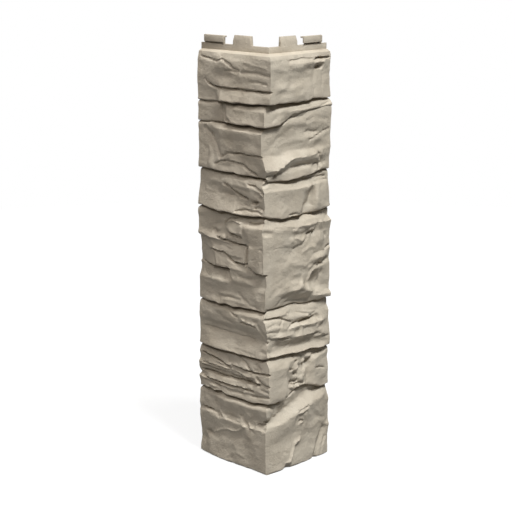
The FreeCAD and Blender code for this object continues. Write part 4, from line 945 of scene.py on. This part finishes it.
# Matte moulded polypropylene, one colour right through, with a slight mottle and a cast grain
plastic = {
    "colour": (0.500, 0.439, 0.350),
    "paler": (0.548, 0.487, 0.393),
    "darker": (0.440, 0.381, 0.298),
    "rampPlaces": (0.45, 0.67, 0.9),
    "clouds": {"Scale": 38.0, "Detail": 4.0, "Roughness": 0.55, "Distortion": 0.4},
    "speckle": {"Scale": 520.0, "Detail": 3.0, "Roughness": 0.6},
    "speckleShare": 0.35,
    "glossMap": {"From Min": 0.3, "From Max": 0.7, "To Min": 0.52, "To Max": 0.66},
    "grain": {"Scale": 900.0, "Detail": 2.0, "Roughness": 0.6},
    "dressing": {"Scale": 290.0, "Detail": 5.0, "Roughness": 0.62, "Distortion": 0.6},
    "dressingShare": 4.0,
    "relief": {"Strength": 0.55, "Distance": 0.0004},
    "surface": {"IOR": 1.49, "Specular IOR Level": 0.42},
}


def setInputs(node, values):
    for socket, value in values.items():
        node.inputs[socket].default_value = value


def nodeMaterial(name):
    material = bpy.data.materials.new(name)
    material.use_nodes = True
    nodes, links = material.node_tree.nodes, material.node_tree.links
    return material, nodes, links, nodes["Principled BSDF"]


def plasticMaterial():
    material, nodes, links, shader = nodeMaterial("mouldedPlastic")
    place = nodes.new("ShaderNodeTexCoord")

    def noise(name):
        node = nodes.new("ShaderNodeTexNoise")
        setInputs(node, plastic[name])
        links.new(place.outputs["Object"], node.inputs["Vector"])
        return node

    def multiplyAdd(first, factor, second):
        node = nodes.new("ShaderNodeMath")
        node.operation = "MULTIPLY_ADD"
        node.inputs[1].default_value = factor
        links.new(first.outputs["Fac"], node.inputs[0])
        links.new(second.outputs["Fac"], node.inputs[2])
        return node

    clouds, speckle = noise("clouds"), noise("speckle")
    blend = multiplyAdd(speckle, plastic["speckleShare"], clouds)
    colours = nodes.new("ShaderNodeValToRGB")
    ramp = colours.color_ramp
    low, middle, high = plastic["rampPlaces"]
    ramp.elements[0].position, ramp.elements[1].position = low, high
    ramp.elements[0].color = plastic["darker"] + (1.0,)
    ramp.elements[1].color = plastic["paler"] + (1.0,)
    ramp.elements.new(middle).color = plastic["colour"] + (1.0,)
    links.new(blend.outputs[0], colours.inputs["Fac"])
    links.new(colours.outputs["Color"], shader.inputs["Base Color"])
    glossMap = nodes.new("ShaderNodeMapRange")
    setInputs(glossMap, plastic["glossMap"])
    links.new(speckle.outputs["Fac"], glossMap.inputs["Value"])
    links.new(glossMap.outputs["Result"], shader.inputs["Roughness"])
    grain, dressing = noise("grain"), noise("dressing")
    relief = multiplyAdd(dressing, plastic["dressingShare"], grain)
    bump = nodes.new("ShaderNodeBump")
    setInputs(bump, plastic["relief"])
    links.new(relief.outputs[0], bump.inputs["Height"])
    links.new(bump.outputs["Normal"], shader.inputs["Normal"])
    setInputs(shader, plastic["surface"])
    return material


plasticFinish = plasticMaterial()
for piece in (skinPiece, flangePiece):
    piece.data.materials.append(plasticFinish)
    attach(piece, "root")
    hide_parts("corner_moulding")
print("plastic finish set")


# The pale floor, soft lamps and the white behind
studio = {
    "floorRadius": 1.5,
    "floorSides": 96,
    "floor": {"Base Color": (0.24, 0.24, 0.24, 1.0), "Roughness": 0.9, "Specular IOR Level": 0.1},
    "floorGlow": 0.84,
    "worldStrength": 0.05,
    "keyPower": 161.0,
    "keySize": 0.9,
    "keyPlace": (-0.41, -1.94, 3.38),
    "fillPower": 46.0,
    "fillSize": 2.6,
    "fillPlace": (-1.30, -0.30, 2.50),
    "keyColour": (0.975, 1.0, 1.01),
    "fillColour": (1.0, 0.958, 0.93),
    "lookAt": (0.0, 0.0, 0.2),
}
white = (1.0, 1.0, 1.0, 1.0)


def floorMaterial():
    # A grey floor that takes shadows and looks white to the camera
    material, nodes, links, shader = nodeMaterial("paleFloor")
    setInputs(shader, studio["floor"])
    rays = nodes.new("ShaderNodeLightPath")
    seen = nodes.new("ShaderNodeMath")
    seen.operation = "MULTIPLY"
    seen.inputs[1].default_value = studio["floorGlow"]
    links.new(rays.outputs["Is Camera Ray"], seen.inputs[0])
    shader.inputs["Emission Color"].default_value = white
    links.new(seen.outputs[0], shader.inputs["Emission Strength"])
    return material


def lamp(name):
    data = bpy.data.lights.new(name + "Lamp", "AREA")
    data.shape = "DISK"
    data.energy = studio[name + "Power"]
    data.color = studio[name + "Colour"]
    data.size = studio[name + "Size"]
    light = bpy.data.objects.new(name + "Lamp", data)
    bpy.context.scene.collection.objects.link(light)
    light.location = studio[name + "Place"]
    direction = Vector(studio["lookAt"]) - Vector(studio[name + "Place"])
    light.rotation_euler = direction.to_track_quat("-Z", "Y").to_euler()


floorMesh = bmesh.new()
bmesh.ops.create_circle(
    floorMesh, cap_ends=True, segments=studio["floorSides"], radius=studio["floorRadius"],
)
floor = finishedObject("floor", floorMesh)
floor.data.materials.append(floorMaterial())

lamp("key")
lamp("fill")

world = bpy.data.worlds.new("softRoom")
world.use_nodes = True
bpy.context.scene.world = world
worldNodes, worldLinks = world.node_tree.nodes, world.node_tree.links
room = worldNodes["Background"]
room.inputs["Color"].default_value = white
rays = worldNodes.new("ShaderNodeLightPath")
seenRay = worldNodes.new("ShaderNodeMath")
seenRay.operation = "MAXIMUM"
worldLinks.new(rays.outputs["Is Camera Ray"], seenRay.inputs[0])
worldLinks.new(rays.outputs["Is Transmission Ray"], seenRay.inputs[1])
level = worldNodes.new("ShaderNodeMapRange")
level.inputs["To Min"].default_value = studio["worldStrength"]
level.inputs["To Max"].default_value = 1.0
worldLinks.new(seenRay.outputs[0], level.inputs["Value"])
worldLinks.new(level.outputs["Result"], room.inputs["Strength"])
print("floor and lights set")


# Square to the corner, from above the top of the moulding
view = {
    "place": (-1.0685, -1.0534, 0.5529),
    "turn": 45.0,
    "down": 12.5,
    "lens": 109.2,
    "farthest": 50.0,
}
cameraData = bpy.data.cameras.new("camera")
cameraData.lens = view["lens"]
cameraData.clip_end = view["farthest"]
camera = bpy.data.objects.new("camera", cameraData)
camera.location = view["place"]
camera.rotation_euler = (math.radians(90.0 - view["down"]), 0.0, math.radians(-view["turn"]))
bpy.context.scene.collection.objects.link(camera)
bpy.context.scene.camera = camera
bpy.context.scene.view_settings.view_transform = "Standard"
